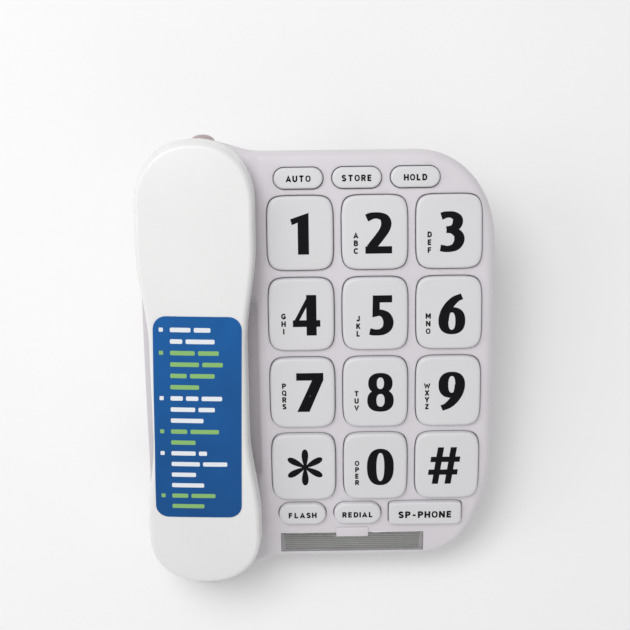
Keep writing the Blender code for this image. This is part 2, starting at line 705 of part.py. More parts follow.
def make_keypad_mat():
    mat = curved_sheet("keypad_mat", -0.089, 0.0850, -0.0485, 0.0395, 0.0008, -0.0080)
    for _, kind, along, across in key_places():
        radius = 0.0058 if kind == "number" else 0.0027
        dome = turned("dome", [(radius, -0.0076), (radius * 0.7, -0.0062)], 8)
        cut(mat, placed(dome, deck_frame(along, across)), "UNION")
    x, y = BOSS_PLACES[1]
    hole = turned("hole", [(BOSS_RADIUS + 0.0007, 0.03), (BOSS_RADIUS + 0.0007, 0.09)], 10)
    cut(mat, placed(hole, rotation_to(x, y)))
    return coloured(mat, (0.30, 0.31, 0.33), 0.6)


def make_base_insides():
    board = box("main_circuit_board", (-0.048, -0.082, -0.0170), (0.0335, 0.082, -0.0154))
    coloured(placed(board, deck_frame(0, 0)), (0.08, 0.30, 0.15), 0.5)
    half_card = Vector((CARD_SIZE[0] / 2, CARD_SIZE[1] / 2, 0.0002))
    middle = Vector((0, 0, -0.0012))
    card = box("index_card", middle - half_card, middle + half_card)
    coloured(placed(card, deck_frame(WINDOW_ALONG, WINDOW_ACROSS)), (0.75, 0.76, 0.75), 0.6)
    window = box("index_window", (-WINDOW_SIZE[0] / 2, -WINDOW_SIZE[1] / 2, -0.0007),
                 (WINDOW_SIZE[0] / 2, WINDOW_SIZE[1] / 2, 0.0002))
    coloured(placed(window, deck_frame(WINDOW_ALONG, WINDOW_ACROSS)), (0.85, 0.87, 0.85), 0.1)

    outwards = Matrix.Translation(LENS_PLACE) @ Matrix.Rotation(math.radians(-90), 4, "X")
    lens = turned("ring_indicator_lens", lens_profile(), 20)
    coloured(placed(lens, outwards), (0.80, 0.66, 0.64), 0.2)
    lamp = turned("ring_indicator_led", [(0.0028, -0.0110), (0.0028, -0.0100), (0.0024, -0.0100),
                                         (0.0024, -0.0055), (0.0012, -0.0040)], 12)
    coloured(placed(lamp, outwards), (0.7, 0.08, 0.06), 0.2)

    profile = [(0.0245, 0.0), (0.0245, 0.0025), (0.0140, 0.0075), (0.0140, 0.0140)]
    speaker = turned("base_speaker", profile, 24)
    coloured(placed(speaker, Matrix.Translation(SPEAKER_PLACE)), (0.10, 0.10, 0.10), 0.5)
    buzzer = turned("ringer_sounder", [(0.0115, 0.0), (0.0115, 0.0055)], 20)
    coloured(placed(buzzer, rotation_to(*BUZZER_PLACE, SPEAKER_PLACE.z)), (0.09, 0.09, 0.09), 0.5)
    facing_front = Matrix.Translation(MIC_PLACE) @ Matrix.Rotation(math.radians(90), 4, "X")
    microphone = turned("speakerphone_microphone", [(0.0030, 0.0), (0.0030, 0.0034)], 14)
    coloured(placed(microphone, facing_front), (0.75, 0.75, 0.72), 0.35, 1.0)

    make_jack("line_jack", LINE_JACK, Vector((0, 1, 0)), 0.0097)
    make_jack("base_handset_jack", SIDE_JACK, Vector((-1, 0, 0)), 0.0078)

    for i, (x, y) in enumerate(BOSS_PLACES):
        screw = placed(make_screw("base_screw_%d" % (i + 1), 0.0018), rotation_to(x, y, FOOT_HEIGHT))
        coloured(screw, (0.6, 0.6, 0.6), 0.35, 1.0)
    for i, (x, y) in enumerate(FOOT_PLACES):
        foot = turned("foot_%d" % (i + 1), [(0.0058, 0.0), (0.0064, 0.0006), (0.0064, FOOT_HEIGHT - GAP)], 20)
        coloured(placed(foot, rotation_to(x, y)), (0.16, 0.16, 0.17), 0.8)


def make_jack(name, mouth, outward, width):
    """A modular socket: a block with a square hole towards outward. mouth is the middle of its front."""
    side = Vector((abs(outward.y), abs(outward.x), 0))
    half = side * (JACK_BODY / 2) + Vector((0, 0, JACK_BODY / 2))
    front = mouth - outward * 0.0006
    back = mouth - outward * JACK_DEPTH
    jack = box_about(name, front, back, half)
    half = side * (width / 2) + Vector((0, 0, JACK_SOCKET / 2))
    cut(jack, box_about("hole", mouth + outward * 0.004, mouth - outward * 0.0125, half))
    return coloured(jack, (0.14, 0.14, 0.15), 0.45)


def make_slider(name, place, outward, proud):
    """A switch knob: a plate behind the wall and a nub through the slot."""
    side = Vector((abs(outward.y), abs(outward.x), 0))
    nub_half = side * (NUB_LENGTH / 2) + Vector((0, 0, NUB_HALF_HEIGHT))
    plate_half = side * (NUB_LENGTH / 2 + 0.0012) + Vector((0, 0, 0.0030))
    back = place - outward * (SHELL_WALL + 0.0020)
    nub = box_about(name, place + outward * proud, back, nub_half)
    plate = box_about("plate", place - outward * (SHELL_WALL + 0.0008), back, plate_half)
    return coloured(cut(nub, plate, "UNION"), (0.75, 0.75, 0.75), 0.4)


def make_hook():
    plunger = turned("hook_plunger", [(0.0030, -0.0260), (0.0030, -0.0170), (PLUNGER_RADIUS, -0.0170),
                                      (PLUNGER_RADIUS, -0.0003), (PLUNGER_RADIUS - 0.0006, 0.0)], 16)
    top = deck_level(PLUNGER_S) + CRADLE_LEVEL - 0.0003
    coloured(placed(plunger, HANDSET_FRAME @ rotation_to(0, PLUNGER_S, top)), KEY_GREY, 0.4)
    switch = box("hook_switch", (-0.006, -0.008, -0.0345), (0.006, 0.008, -0.0263))
    coloured(placed(switch, HANDSET_FRAME @ rotation_to(0, PLUNGER_S, top)), (0.10, 0.10, 0.10), 0.5)


def main():
    for thing in list(bpy.data.objects):
        bpy.data.objects.remove(thing)
    frame = bpy.data.objects.new("handset_frame", None)
    bpy.context.scene.collection.objects.link(frame)
    frame.matrix_basis = HANDSET_FRAME

    make_base_top_shell()
    make_base_bottom_shell()
    make_keypad_mat()
    make_base_insides()
    make_hook()
    make_slider("volume_slider", VOLUME_SLIDE - Vector((0, 0.0045, 0)), Vector((1, 0, 0)), -0.0002)
    for name, x in BACK_SWITCHES:
        make_slider(name, Vector((x - 0.0020, BASE_BACK, BACK_SWITCH_Z)), Vector((0, 1, 0)), 0.0012)
    make_keys()
    make_handset_back_shell()
    make_handset_front_shell()
    make_handset_insides()
    make_handset_label()


main()
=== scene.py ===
"""Looks of a big-button desk telephone: keypad base, handset in a cradle, keys, label, sockets and switches.

Metres, +Z up. The deck, the base's top face, is part of a large cylinder whose axis runs along X. Keys are
made flat and then laid on it; the handset is made in its own tilted frame.
"""
import math

import bmesh
import bpy
from mathutils import Matrix, Vector


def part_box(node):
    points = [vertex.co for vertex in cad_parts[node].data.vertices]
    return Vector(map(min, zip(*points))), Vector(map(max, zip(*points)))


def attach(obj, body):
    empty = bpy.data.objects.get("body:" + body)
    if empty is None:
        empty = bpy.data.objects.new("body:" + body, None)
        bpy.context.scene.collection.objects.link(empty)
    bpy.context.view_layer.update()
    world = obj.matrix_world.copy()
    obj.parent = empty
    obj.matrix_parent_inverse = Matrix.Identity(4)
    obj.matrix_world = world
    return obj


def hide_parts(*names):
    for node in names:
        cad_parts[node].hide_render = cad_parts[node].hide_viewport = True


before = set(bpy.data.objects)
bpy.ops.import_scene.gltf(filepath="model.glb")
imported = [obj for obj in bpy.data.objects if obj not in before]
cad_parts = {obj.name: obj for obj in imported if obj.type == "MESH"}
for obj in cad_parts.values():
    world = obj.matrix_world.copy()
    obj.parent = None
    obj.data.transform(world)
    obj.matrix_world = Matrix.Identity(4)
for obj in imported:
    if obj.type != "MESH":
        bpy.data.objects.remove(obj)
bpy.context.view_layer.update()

# The deck and the base, as in the frame.
DECK_RADIUS = 0.602
DECK_SLOPE = math.radians(13.28)
KEYPAD_X, KEYPAD_Y, KEYPAD_Z = 0.02674, 0.00625, 0.057
DECK_CENTRE_Y = KEYPAD_Y + DECK_RADIUS * math.sin(DECK_SLOPE)
DECK_CENTRE_Z = KEYPAD_Z - DECK_RADIUS * math.cos(DECK_SLOPE)
VALLEY_DEPTH, VALLEY_RIGHT, VALLEY_WIDTH = 0.003, -0.0245, 0.008
BASE_HALF_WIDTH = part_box("base_top_shell")[1].x
BASE_BACK, BASE_FRONT = 0.1005, -0.0946
LOBE_BACK, LOBE_FRONT = 0.1063, -0.11013
FOOT_HEIGHT, FLOOR_THICKNESS, PARTING_Z = 0.0025, 0.002, 0.006
WALL, GAP = 0.0020, 0.0003
BOSS_PLACES = ((-0.066, 0.070), (0.065, 0.086), (-0.062, -0.018), (0.0548, -0.0865))
FOOT_PLACES = ((-0.058, 0.084), (0.058, 0.076), (-0.058, -0.084), (0.058, -0.074))
KEYHOLES_Y = (0.036, -0.047)
SPEAKER_X, SPEAKER_Y = 0.036, 0.052

# Fittings in the base's walls and deck.
WINDOW_ALONG, WINDOW_ACROSS = -0.0990, -0.0112
WINDOW_SIZE = (0.0695, 0.0100)
LINE_JACK = Vector((0.020, BASE_BACK, 0.020))
SIDE_JACK = Vector((-BASE_HALF_WIDTH, -0.040, 0.0160))
JACK_BODY, JACK_SOCKET = 0.0126, 0.0070
LENS_PLACE = Matrix.Translation((-0.053, LOBE_BACK, 0.0565)) @ Matrix.Rotation(math.radians(-90), 4, "X")
LENS_RADIUS = 0.00575
PLUNGER_S, PLUNGER_RADIUS = 0.060, 0.0045
VOLUME_SLIDE = Vector((BASE_HALF_WIDTH, 0.030, 0.036))
BACK_SWITCHES = (("ringer_switch", 0.046), ("tone_pulse_switch", -0.004))
BACK_SWITCH_Z = 0.036
MIC_X, MIC_Z = 0.043, 0.0125
KNOB_LENGTH = 0.0050
CARD_SIZE, CARD_LINES = (0.0656, 0.0088), 9
# Half width, half height, half the hole, how far proud, length and depth of a cord socket.
BASE_SOCKET = (JACK_BODY / 2, JACK_BODY / 2, JACK_SOCKET / 2, -0.0006, 0.0146, 0.0125)
HANDSET_SOCKET = (0.0058, 0.0048, 0.0031, 0.0, 0.0125, 0.0105)

# Keys.
KEY_PITCH_X, KEY_PITCH_Y = 0.03436, 0.03795
KEY_SIZES = {"number": (0.0305, 0.0344), "pill": (0.0227, 0.0098), "low_pill": (0.0228, 0.0112),
             "oblong": (0.0354, 0.0122)}
KEY_SQUARENESS = {"number": 5.4, "oblong": 9.0}
KEY_RISE, KEY_CROWN, KEY_EDGE, SMALL_KEY_EDGE = 0.0024, 0.00022, 0.0013, 0.0010
KEY_DRAW, KEY_FLANGE, FLANGE_TOP, FLANGE_BOTTOM = -0.0001, 0.0006, -0.0030, -0.0043
HOLE_CLEARANCE = 0.00035

# Print on the keys.
INK = 0.00004
INK_ROOT = -0.4 * INK
NUMERAL_HEIGHT, NUMERAL_LOW = 0.0192, -0.0098
LETTER_HEIGHT, WORD_HEIGHT, OBLONG_WORD_HEIGHT = 0.0026, 0.0029, 0.0036
LETTER_STROKE, LETTER_SPACE = 0.26, 0.17
LETTER_GROUPS = {"2": "ABC", "3": "DEF", "4": "GHI", "5": "JKL", "6": "MNO", "7": "PQRS", "8": "TUV",
                 "9": "WXYZ", "0": "OPER"}
FUNCTIONS = {"auto": "AUTO", "store": "STORE", "hold": "HOLD", "flash": "FLASH", "redial": "REDIAL",
             "speakerphone": "SP-PHONE"}
# Where the print stands off its usual place, in tenths of a millimetre: numeral across and up, letters
# across and up.
PRINT_SHIFTS = {"1": (-2, 0, 0, 0), "2": (-6, 0, 2, 0), "3": (-12, 0, -2, 0), "4": (0, 0, 6, 7),
                "5": (6, -6, 10, -8), "6": (-11, -3, -8, 0), "7": (11, 7, 2, 21),
                "8": (0, 3, 0, 9), "9": (-8, 4, -11, 12), "0": (0, 2, 1, 4),
                "star": (6, 5, 0, 0), "hash": (-14, 5, 0, 0)}
# The strokes of small capitals, in letter heights, centred on X. Lines of five points or more are curved.
LETTER_LINES = {
    "A": [((-.33, 0), (0, .86), (.33, 0)), ((-.22, .27), (.22, .27))],
    "B": [((-.25, 0), (-.25, 1)), ((-.25, .89), (.03, .89), (.18, .80), (.18, .63), (.03, .53), (-.25, .53)),
          ((-.25, .53), (.06, .53), (.23, .42), (.23, .21), (.06, .11), (-.25, .11))],
    "C": [((.29, .76), (.16, .87), (-.02, .89), (-.22, .76), (-.29, .50), (-.22, .24), (-.02, .11),
           (.16, .13), (.29, .24))],
    "D": [((-.25, 0), (-.25, 1)), ((-.25, .89), (0, .89), (.20, .77), (.27, .50), (.20, .23), (0, .11),
           (-.25, .11))],
    "E": [((-.22, 0), (-.22, 1)), ((-.22, .89), (.26, .89)), ((-.22, .51), (.22, .51)),
          ((-.22, .11), (.26, .11))],
    "F": [((-.22, 0), (-.22, 1)), ((-.22, .89), (.26, .89)), ((-.22, .50), (.20, .50))],
    "G": [((.29, .76), (.16, .87), (-.02, .89), (-.22, .76), (-.29, .50), (-.22, .24), (-.02, .11),
           (.16, .13), (.28, .26)), ((.28, .10), (.28, .44)), ((.02, .44), (.38, .44))],
    "H": [((-.27, 0), (-.27, 1)), ((.27, 0), (.27, 1)), ((-.27, .5), (.27, .5))],
    "I": [((0, 0), (0, 1))],
    "J": [((.16, 1), (.16, .30), (.10, .15), (-.03, .10), (-.15, .17), (-.20, .33))],
    "K": [((-.25, 0), (-.25, 1)), ((.27, .97), (-.22, .40)), ((-.06, .56), (.29, .03))],
    "L": [((-.20, 0), (-.20, 1)), ((-.20, .11), (.26, .11))],
    "M": [((-.34, 0), (-.34, 1)), ((.34, 0), (.34, 1)), ((-.33, .93), (0, .34), (.33, .93))],
    "N": [((-.28, 0), (-.28, 1)), ((.28, 0), (.28, 1)), ((-.28, .92), (.28, .08))],
    "O": [],
    "P": [((-.23, 0), (-.23, 1)), ((-.23, .89), (.05, .89), (.22, .79), (.22, .58), (.05, .47), (-.23, .47))],
    "Q": [((.06, .28), (.36, -.04))],
    "R": [((-.23, 0), (-.23, 1)), ((-.23, .89), (.05, .89), (.22, .79), (.22, .58), (.05, .47), (-.23, .47)),
          ((.02, .50), (.28, .01))],
    "S": [((.24, .78), (.10, .88), (-.08, .89), (-.22, .77), (-.17, .60), (.02, .50), (.20, .39), (.23, .22),
           (.08, .11), (-.10, .11), (-.26, .22))],
    "T": [((0, 0), (0, 1)), ((-.34, .89), (.34, .89))],
    "U": [((-.26, 1), (-.26, .36), (-.17, .16), (0, .10), (.17, .16), (.26, .36), (.26, 1))],
    "V": [((-.33, 1), (0, .14), (.33, 1))],
    "W": [((-.46, 1), (-.24, .14), (0, .84)), ((0, .84), (.24, .14), (.46, 1))],
    "X": [((-.30, 0), (.30, 1)), ((-.30, 1), (.30, 0))],
    "Y": [((-.32, 1), (0, .46)), ((.32, 1), (0, .46)), ((0, .52), (0, 0))],
    "Z": [((-.30, .89), (.30, .89)), ((.23, .85), (-.23, .15)), ((-.30, .11), (.30, .11))],
    "-": [((-.20, .42), (.20, .42))],
}

# The handset.
HANDSET_X, CRADLE_Y = -0.0552, 0.0006
HALF_LENGTH = 0.107
EAR_HALF_WIDTH, WAIST_HALF_WIDTH, MOUTH_HALF_WIDTH = 0.0274, 0.0226, 0.0269
EAR_CAP, MOUTH_CAP = 0.029, 0.026
HANDSET_TOP, HANDSET_TOP_RADIUS, PARTING_DROP = 0.018, 0.650, 0.0105
TOP_EDGE, TOP_EDGE_DROP, TOP_LEAN, TOP_CROWN = 0.0024, 0.0028, 0.0006, 0.0004
CUP_LEVEL, GRIP_LEVEL, END_LEVEL, CRADLE_LEVEL = -0.0090, 0.0015, 0.0012, -0.0095
HANDSET_WALL = 0.0022
EAR_S, MOUTH_S, VOLUME_SWITCH_S = 0.068, -0.0745, -0.012
HANDSET_SCREWS = (0.022, -0.048)
LABEL_LOW, LABEL_HIGH, LABEL_WIDTH = -0.0698, 0.0286, 0.0404
LABEL_X, LABEL_TURN, LABEL_CORNER = -0.0008, math.radians(-1.65), 0.0060
# The second pair is the span along Y over which painted shade darkens the label's blue towards the mouth end.
LABEL_FILM, LABEL_PAINTED_SHADE = 0.00012, (-0.075, 0.027)
ROW_PITCH, BAR_HEIGHT, BAR_SIGN, BULLET_SIZE = 0.00540, 0.0021, 0.0020, 0.0019
# Every row of the label, from the top: has it a bullet, is it green, and its bars' lengths in letters.
LABEL_ROWS = ((1, 0, (5, 4)), (0, 0, (3, 7)), (1, 1, (6, 5)), (0, 1, (7, 5)), (0, 1, (4, 6)), (0, 1, (7,)),
              (1, 0, (3, 3, 5)), (0, 0, (6, 4)), (0, 0, (8,)), (1, 1, (4, 7)), (0, 1, (6,)),
              (1, 0, (6, 2)), (0, 0, (7, 6)), (0, 0, (6,)), (0, 0, (8,)), (1, 1, (4, 6)), (0, 1, (8,)))

# The cradle: a well for the handset's cups, and a trough beside the grip for fingers.
WELL_LOW, WELL_HIGH, WELL_CORNER = -0.0955, 0.0975, 0.007
WELL_INSET, WELL_HALF_WIDTH, WELL_FILLET = 0.0016, 0.0258, 0.0018
TROUGH_LEFT, TROUGH_MIDDLE, TROUGH_REACH = -0.046, -0.014, 0.0266
TROUGH_LOW, TROUGH_HIGH, TROUGH_SINK = -0.0580, 0.0330, 0.0002
# How far its wall stands out, how high, and how far its ends are drawn in, from the floor up.
TROUGH_STEPS = ((0.0172, 0.0, 0.0016), (0.0186, 0.0003, 0.0006), (0.0196, 0.0010, 0.0001),
                (0.0226, 0.0034, 0.0), (0.0246, 0.0052, 0.0), (0.0262, 0.0066, 0.0))
LIP_CLEARANCE, CUTTER_TOP = 0.00004, 0.06


# ---------------------------------------------------------------- the telephone's surfaces

def smooth(t):
    """A soft step from 0 to 1."""
    t = min(1.0, max(0.0, t))
    return t * t * (3.0 - 2.0 * t)


def mix(a, b, t):
    return a + (b - a) * t


def rounding(degrees):
    """How far a fillet of radius 1 has come in, and how far it still has to rise, at this angle along it."""
    a = math.radians(degrees)
    return 1 - math.cos(a), 1 - math.sin(a)


def raised(ring, level):
    """The ring at a level, which may be a function of its points."""
    return [Vector((p.x, p.y, level(p) if callable(level) else level)) for p in ring]


def scaled(ring, scale, level):
    return [Vector((p.x * scale, p.y * scale, level)) for p in ring]


def polygon(*points):
    return [Vector((*p, 0)) for p in points]


def mirrored(side):
    """A closed ring from its right side and the mirror image of it."""
    return side + [Vector((-p.x, p.y, 0)) for p in side[-2:0:-1]]


def deck_height(x, y):
    arc = math.sqrt(DECK_RADIUS ** 2 - (y - DECK_CENTRE_Y) ** 2)
    return DECK_CENTRE_Z + arc - VALLEY_DEPTH * smooth((VALLEY_RIGHT - x) / VALLEY_WIDTH)


def on_deck(along, across, lift=0.0):
    """Place on the deck: along its arc and across it from the keypad's middle. Z is its normal."""
    slope = DECK_SLOPE - along / DECK_RADIUS
    reach = DECK_RADIUS + lift
    place = Vector((KEYPAD_X + across, DECK_CENTRE_Y - reach * math.sin(slope),
                    DECK_CENTRE_Z + reach * math.cos(slope)))
    return Matrix.Translation(place) @ Matrix.Rotation(slope, 4, "X")


def corner(x, centre_x, reach_x, reach_y, power):
    t = min(1.0, abs(x - centre_x) / reach_x)
    return reach_y * (1.0 - t ** power) ** (1.0 / power)


def outline_back(x):
    if x > 0.045:
        return 0.056 + corner(x, 0.045, BASE_HALF_WIDTH - 0.045, BASE_BACK - 0.056, 2.15)
    if x > -0.052:
        return mix(BASE_BACK, LOBE_BACK, smooth((-0.024 - x) / 0.028))
    return 0.074 + corner(x, -0.052, BASE_HALF_WIDTH - 0.052, LOBE_BACK - 0.074, 2.1)


def outline_front(x):
    if x > 0.047:
        return -0.0426 - corner(x, 0.047, BASE_HALF_WIDTH - 0.047, -0.0426 - BASE_FRONT, 2.15)
    if x > -0.055:
        return mix(BASE_FRONT, LOBE_FRONT, smooth((-0.020 - x) / 0.035))
    return -0.080 - corner(x, -0.055, BASE_HALF_WIDTH - 0.055, -0.080 - LOBE_FRONT, 2.1)


def outline_stations(step_degrees, middle_count):
    """Places along X where the outline is drawn, closer together at its rounded ends."""
    turns = [math.radians(a) for a in range(0, 90, step_degrees)]
    left = [-BASE_HALF_WIDTH + 0.031 * (1 - math.cos(t)) for t in turns]
    middle = [mix(-0.052, 0.0455, i / (middle_count - 1)) for i in range(middle_count)]
    right = [BASE_HALF_WIDTH - 0.0375 * (1 - math.cos(t)) for t in reversed(turns)]
    return left + middle + right


def base_ring(stations, rows):
    """The outline in order: front edge to the right, right side, back edge to the left, left side."""
    front = [Vector((x, outline_front(x), 0)) for x in stations]
    back = [Vector((x, outline_back(x), 0)) for x in stations]
    right = [front[-1].lerp(back[-1], j / rows) for j in range(1, rows)]
    left = [back[0].lerp(front[0], j / rows) for j in range(1, rows)]
    return front + right + back[::-1] + left


def outward_at(ring, i):
    before = (ring[i] - ring[i - 1]).normalized()
    after = (ring[(i + 1) % len(ring)] - ring[i]).normalized()
    along = (before + after).normalized()
    return Vector((along.y, -along.x, 0))


def shrunk(ring, inset):
    """The ring moved inwards along its own normals. inset is a length, or a function of the normal."""
    moved = []
    for i, point in enumerate(ring):
        outward = outward_at(ring, i)
        moved.append(point - outward * (inset(outward) if callable(inset) else inset))
    return moved


def edge_radius(outward):
    """The deck's rounded rim: soft at the sides and back, crisp along the front."""
    return mix(0.0050, 0.0016, smooth(-outward.y * 1.6 - 0.4))


HANDSET_TILT = DECK_SLOPE - (CRADLE_Y - KEYPAD_Y) / math.cos(DECK_SLOPE) / DECK_RADIUS
HANDSET_FRAME = (Matrix.Translation((HANDSET_X, CRADLE_Y, deck_height(KEYPAD_X, CRADLE_Y)))
                 @ Matrix.Rotation(HANDSET_TILT, 4, "X"))


def half_width(s):
    """Half the handset's width at s along it, ear end positive."""
    if s > 0:
        width, cap = mix(WAIST_HALF_WIDTH, EAR_HALF_WIDTH, smooth((s - 0.014) / 0.046)), EAR_CAP
    else:
        width, cap = mix(WAIST_HALF_WIDTH, MOUTH_HALF_WIDTH, smooth((-s - 0.030) / 0.042)), MOUTH_CAP
    t = min(1.0, max(0.0, abs(s) - HALF_LENGTH + cap) / cap)
    return width * (1.0 - t ** 2.2) ** (1 / 2.2)


def top_level(s):
    return HANDSET_TOP - s * s / (2 * HANDSET_TOP_RADIUS)


def deck_level(s):
    """The unsunk deck in the handset's frame."""
    return -s * s / (2 * DECK_RADIUS)


def sunk_level(x, s):
    """The deck beside and under the handset, in the handset's frame."""
    return deck_level(s) - VALLEY_DEPTH * smooth((VALLEY_RIGHT - HANDSET_X - x) / VALLEY_WIDTH)


def under_level(s):
    """The front shell's underside: two cups, the grip arched between them, and raised tips."""
    cup = smooth((s - 0.036) / 0.010) * smooth((0.095 - s) / 0.009)
    cup += smooth((-s - 0.060) / 0.010) * smooth((0.094 + s) / 0.010)
    rest = mix(GRIP_LEVEL, END_LEVEL, smooth((abs(s) - 0.05) / 0.03))
    return deck_level(s) + mix(rest, CUP_LEVEL, min(1.0, cup))


def evenly(points, count):
    """count + 1 places at equal distances along an open line."""
    reach = [0.0]
    for a, b in zip(points, points[1:]):
        reach.append(reach[-1] + (b - a).length)
    spaced, i = [], 0
    for k in range(count + 1):
        target = reach[-1] * k / count
        while i < len(points) - 2 and reach[i + 1] < target:
            i += 1
        span = reach[i + 1] - reach[i]
        spaced.append(points[i].lerp(points[i + 1], (target - reach[i]) / span))
    return spaced


def handset_outline(count=240):
    """The handset seen from above: mouth tip, right side, ear tip, left side."""
    fine = 600
    stations = [-HALF_LENGTH * math.cos(math.pi * i / fine) for i in range(fine + 1)]
    return mirrored(evenly([Vector((half_width(s), s, 0)) for s in stations], count // 2))


# ---------------------------------------------------------------- modelling by steps

def deselect():
    if bpy.context.object and bpy.context.object.mode != "OBJECT":
        bpy.ops.object.mode_set(mode="OBJECT")
    bpy.ops.object.select_all(action="DESELECT")


def named(name):
    piece = bpy.context.object
    piece.name = piece.data.name = name
    return piece


def pick(piece):
    """Makes one object the selected and active one."""
    deselect()
    piece.select_set(True)
    bpy.context.view_layer.objects.active = piece
    return piece


def open_edit(piece, mode="EDGE"):
    pick(piece)
    bpy.ops.object.mode_set(mode="EDIT")
    bpy.ops.mesh.select_mode(type=mode)
    return bmesh.from_edit_mesh(piece.data)


def close_edit(piece, merge=0.000002):
    """Merges doubles, turns every face outwards and leaves edit mode."""
    bpy.ops.mesh.select_all(action="SELECT")
    if merge:
        bpy.ops.mesh.remove_doubles(threshold=merge)
    bpy.ops.mesh.normals_make_consistent(inside=False)
    bpy.ops.object.mode_set(mode="OBJECT")
    return piece


def lay_rings(piece, rings):
    """Extrudes the selected border once for each ring and moves each new point to its own place in it."""
    for ring in rings:
        bpy.ops.mesh.extrude_region()
        bm = bmesh.from_edit_mesh(piece.data)
        turn = bm.verts.layers.int["turn"]
        for vert in bm.verts:
            if vert.select:
                vert.co = ring[vert[turn]]
        bmesh.update_edit_mesh(piece.data)


def loft(name, rings, closed=True):
    """A solid from a stack of equal rings. The end rings are filled, or close on themselves."""
    deselect()
    bpy.ops.mesh.primitive_circle_add(vertices=len(rings[0]), radius=1.0, fill_type="NOTHING")
    piece = named(name)
    bm = open_edit(piece)
    turn = bm.verts.layers.int.new("turn")
    for i, vert in enumerate(bm.verts):
        vert[turn] = i
        vert.co = rings[0][i]
    bmesh.update_edit_mesh(piece.data)
    if closed:
        bpy.ops.mesh.select_all(action="SELECT")
        bpy.ops.mesh.edge_face_add()
    bpy.ops.mesh.select_all(action="SELECT")
    if closed:
        only_border(piece)
    lay_rings(piece, rings[1:])
    if closed:
        bpy.ops.mesh.edge_face_add()
    close_edit(piece)
    piece.data.attributes.remove(piece.data.attributes["turn"])
    return piece


def only_border(piece):
    """Keeps the selected border's edges and leaves out the face they hold."""
    bm = bmesh.from_edit_mesh(piece.data)
    for face in bm.faces:
        face.select = False
    for edge in bm.edges:
        edge.select = edge.is_boundary
    bmesh.update_edit_mesh(piece.data)


def fill_rim(piece):
    """Closes the one open border of a lofted piece with a face."""
    open_edit(piece)
    bpy.ops.mesh.select_all(action="DESELECT")
    only_border(piece)
    bpy.ops.mesh.edge_face_add()
    close_edit(piece)


def moved(piece, matrix):
    """Applies a place to the mesh, so that the object stays at the origin."""
    piece.data.transform(matrix)
    return piece


def cut(piece, cutter, operation="DIFFERENCE"):
    pick(piece)
    modifier = piece.modifiers.new("cut", "BOOLEAN")
    modifier.operation = operation
    modifier.object = cutter
    bpy.ops.object.modifier_apply(modifier=modifier.name)
    bpy.data.objects.remove(cutter)
    return piece


def drilled(piece, holes):
    for hole in holes:
        cut(piece, hole)
    return piece


def united(parts):
    for part in parts[1:]:
        cut(parts[0], part, "UNION")
    return parts[0]


def joined(name, pieces):
    """One object of several, which keep their own materials."""
    deselect()
    for piece in pieces:
        piece.select_set(True)
    bpy.context.view_layer.objects.active = pieces[0]
    bpy.ops.object.join()
    return named(name)


def copied(piece, name):
    twin = piece.copy()
    twin.data = piece.data.copy()
    twin.name = twin.data.name = name
    bpy.context.scene.collection.objects.link(twin)
    return twin


def finished(piece, body, slot, material=None, *nodes, angle=30):
    """Smooth faces with crisp edges, its material, its body and the CAD nodes it stands for."""
    pick(piece)
    bpy.ops.object.shade_smooth_by_angle(angle=math.radians(angle))
    if material:
        piece.data.materials.clear()
        piece.data.materials.append(material)
    if nodes:
        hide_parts(*nodes)
    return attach(piece, body)


def spread(master, prefix, suffix, places, *finish):
    """A copy of the master at each place, each standing for the numbered CAD node."""
    for i, place in enumerate(places):
        node = prefix + str(i + 1)
        finished(moved(copied(master, node + suffix), place), *finish, node)
    bpy.data.objects.remove(master)


def circle(radius, height, sides=32):
    angles = [2 * math.pi * i / sides for i in range(sides)]
    return [Vector((radius * math.cos(a), radius * math.sin(a), height)) for a in angles]


def turned(name, profile, sides=32):
    """A solid turned round Z from (radius, height) pairs, bottom to top."""
    return loft(name, [circle(r, z, sides) for r, z in profile])


def block(name, low, high, edge=0.0, segments=2):
    """A box between two opposite corners, its edges bevelled."""
    low, high = Vector(map(min, low, high)), Vector(map(max, low, high))
    deselect()
    bpy.ops.mesh.primitive_cube_add(size=1.0, location=(low + high) / 2)
    piece = named(name)
    bpy.ops.transform.resize(value=high - low)
    bpy.ops.object.transform_apply(location=True, rotation=True, scale=True)
    if edge:
        open_edit(piece)
        bpy.ops.mesh.select_all(action="SELECT")
        bpy.ops.mesh.bevel(offset=edge, segments=segments, affect="EDGES")
        close_edit(piece, 0)
    return piece


def hole_about(place, low, high, edge, segments=2):
    """A box that reaches this far below and above a place."""
    return block("hole", place - Vector(low), place + Vector(high), edge, segments)


# ---------------------------------------------------------------- materials

def new_material(name):
    material = bpy.data.materials.new(name)
    material.use_nodes = True
    nodes = material.node_tree.nodes
    return material, nodes, material.node_tree.links, nodes["Principled BSDF"]


def noise(nodes, links, scale, detail=3.0, stretch=(1, 1, 1)):
    """Noise on the object's own coordinates."""
    place = nodes.new("ShaderNodeTexCoord")
    mapping = nodes.new("ShaderNodeMapping")
    mapping.inputs["Scale"].default_value = stretch
    texture = nodes.new("ShaderNodeTexNoise")
    texture.inputs["Scale"].default_value = scale
    texture.inputs["Detail"].default_value = detail
    links.new(place.outputs["Object"], mapping.inputs["Vector"])
    links.new(mapping.outputs["Vector"], texture.inputs["Vector"])
    return texture.outputs["Fac"]


def ranged(nodes, links, value, low, high, start=0.3, end=0.7):
    span = nodes.new("ShaderNodeMapRange")
    span.inputs["From Min"].default_value = start
    span.inputs["From Max"].default_value = end
    span.inputs["To Min"].default_value = low
    span.inputs["To Max"].default_value = high
    links.new(value, span.inputs["Value"])
    return span.outputs["Result"]


def two_tone(nodes, links, factor, dark, light):
    blend = nodes.new("ShaderNodeMix")
    blend.data_type = "RGBA"
    blend.inputs["A"].default_value = (*dark, 1)
    blend.inputs["B"].default_value = (*light, 1)
    links.new(factor, blend.inputs["Factor"])
    return blend.outputs["Result"]


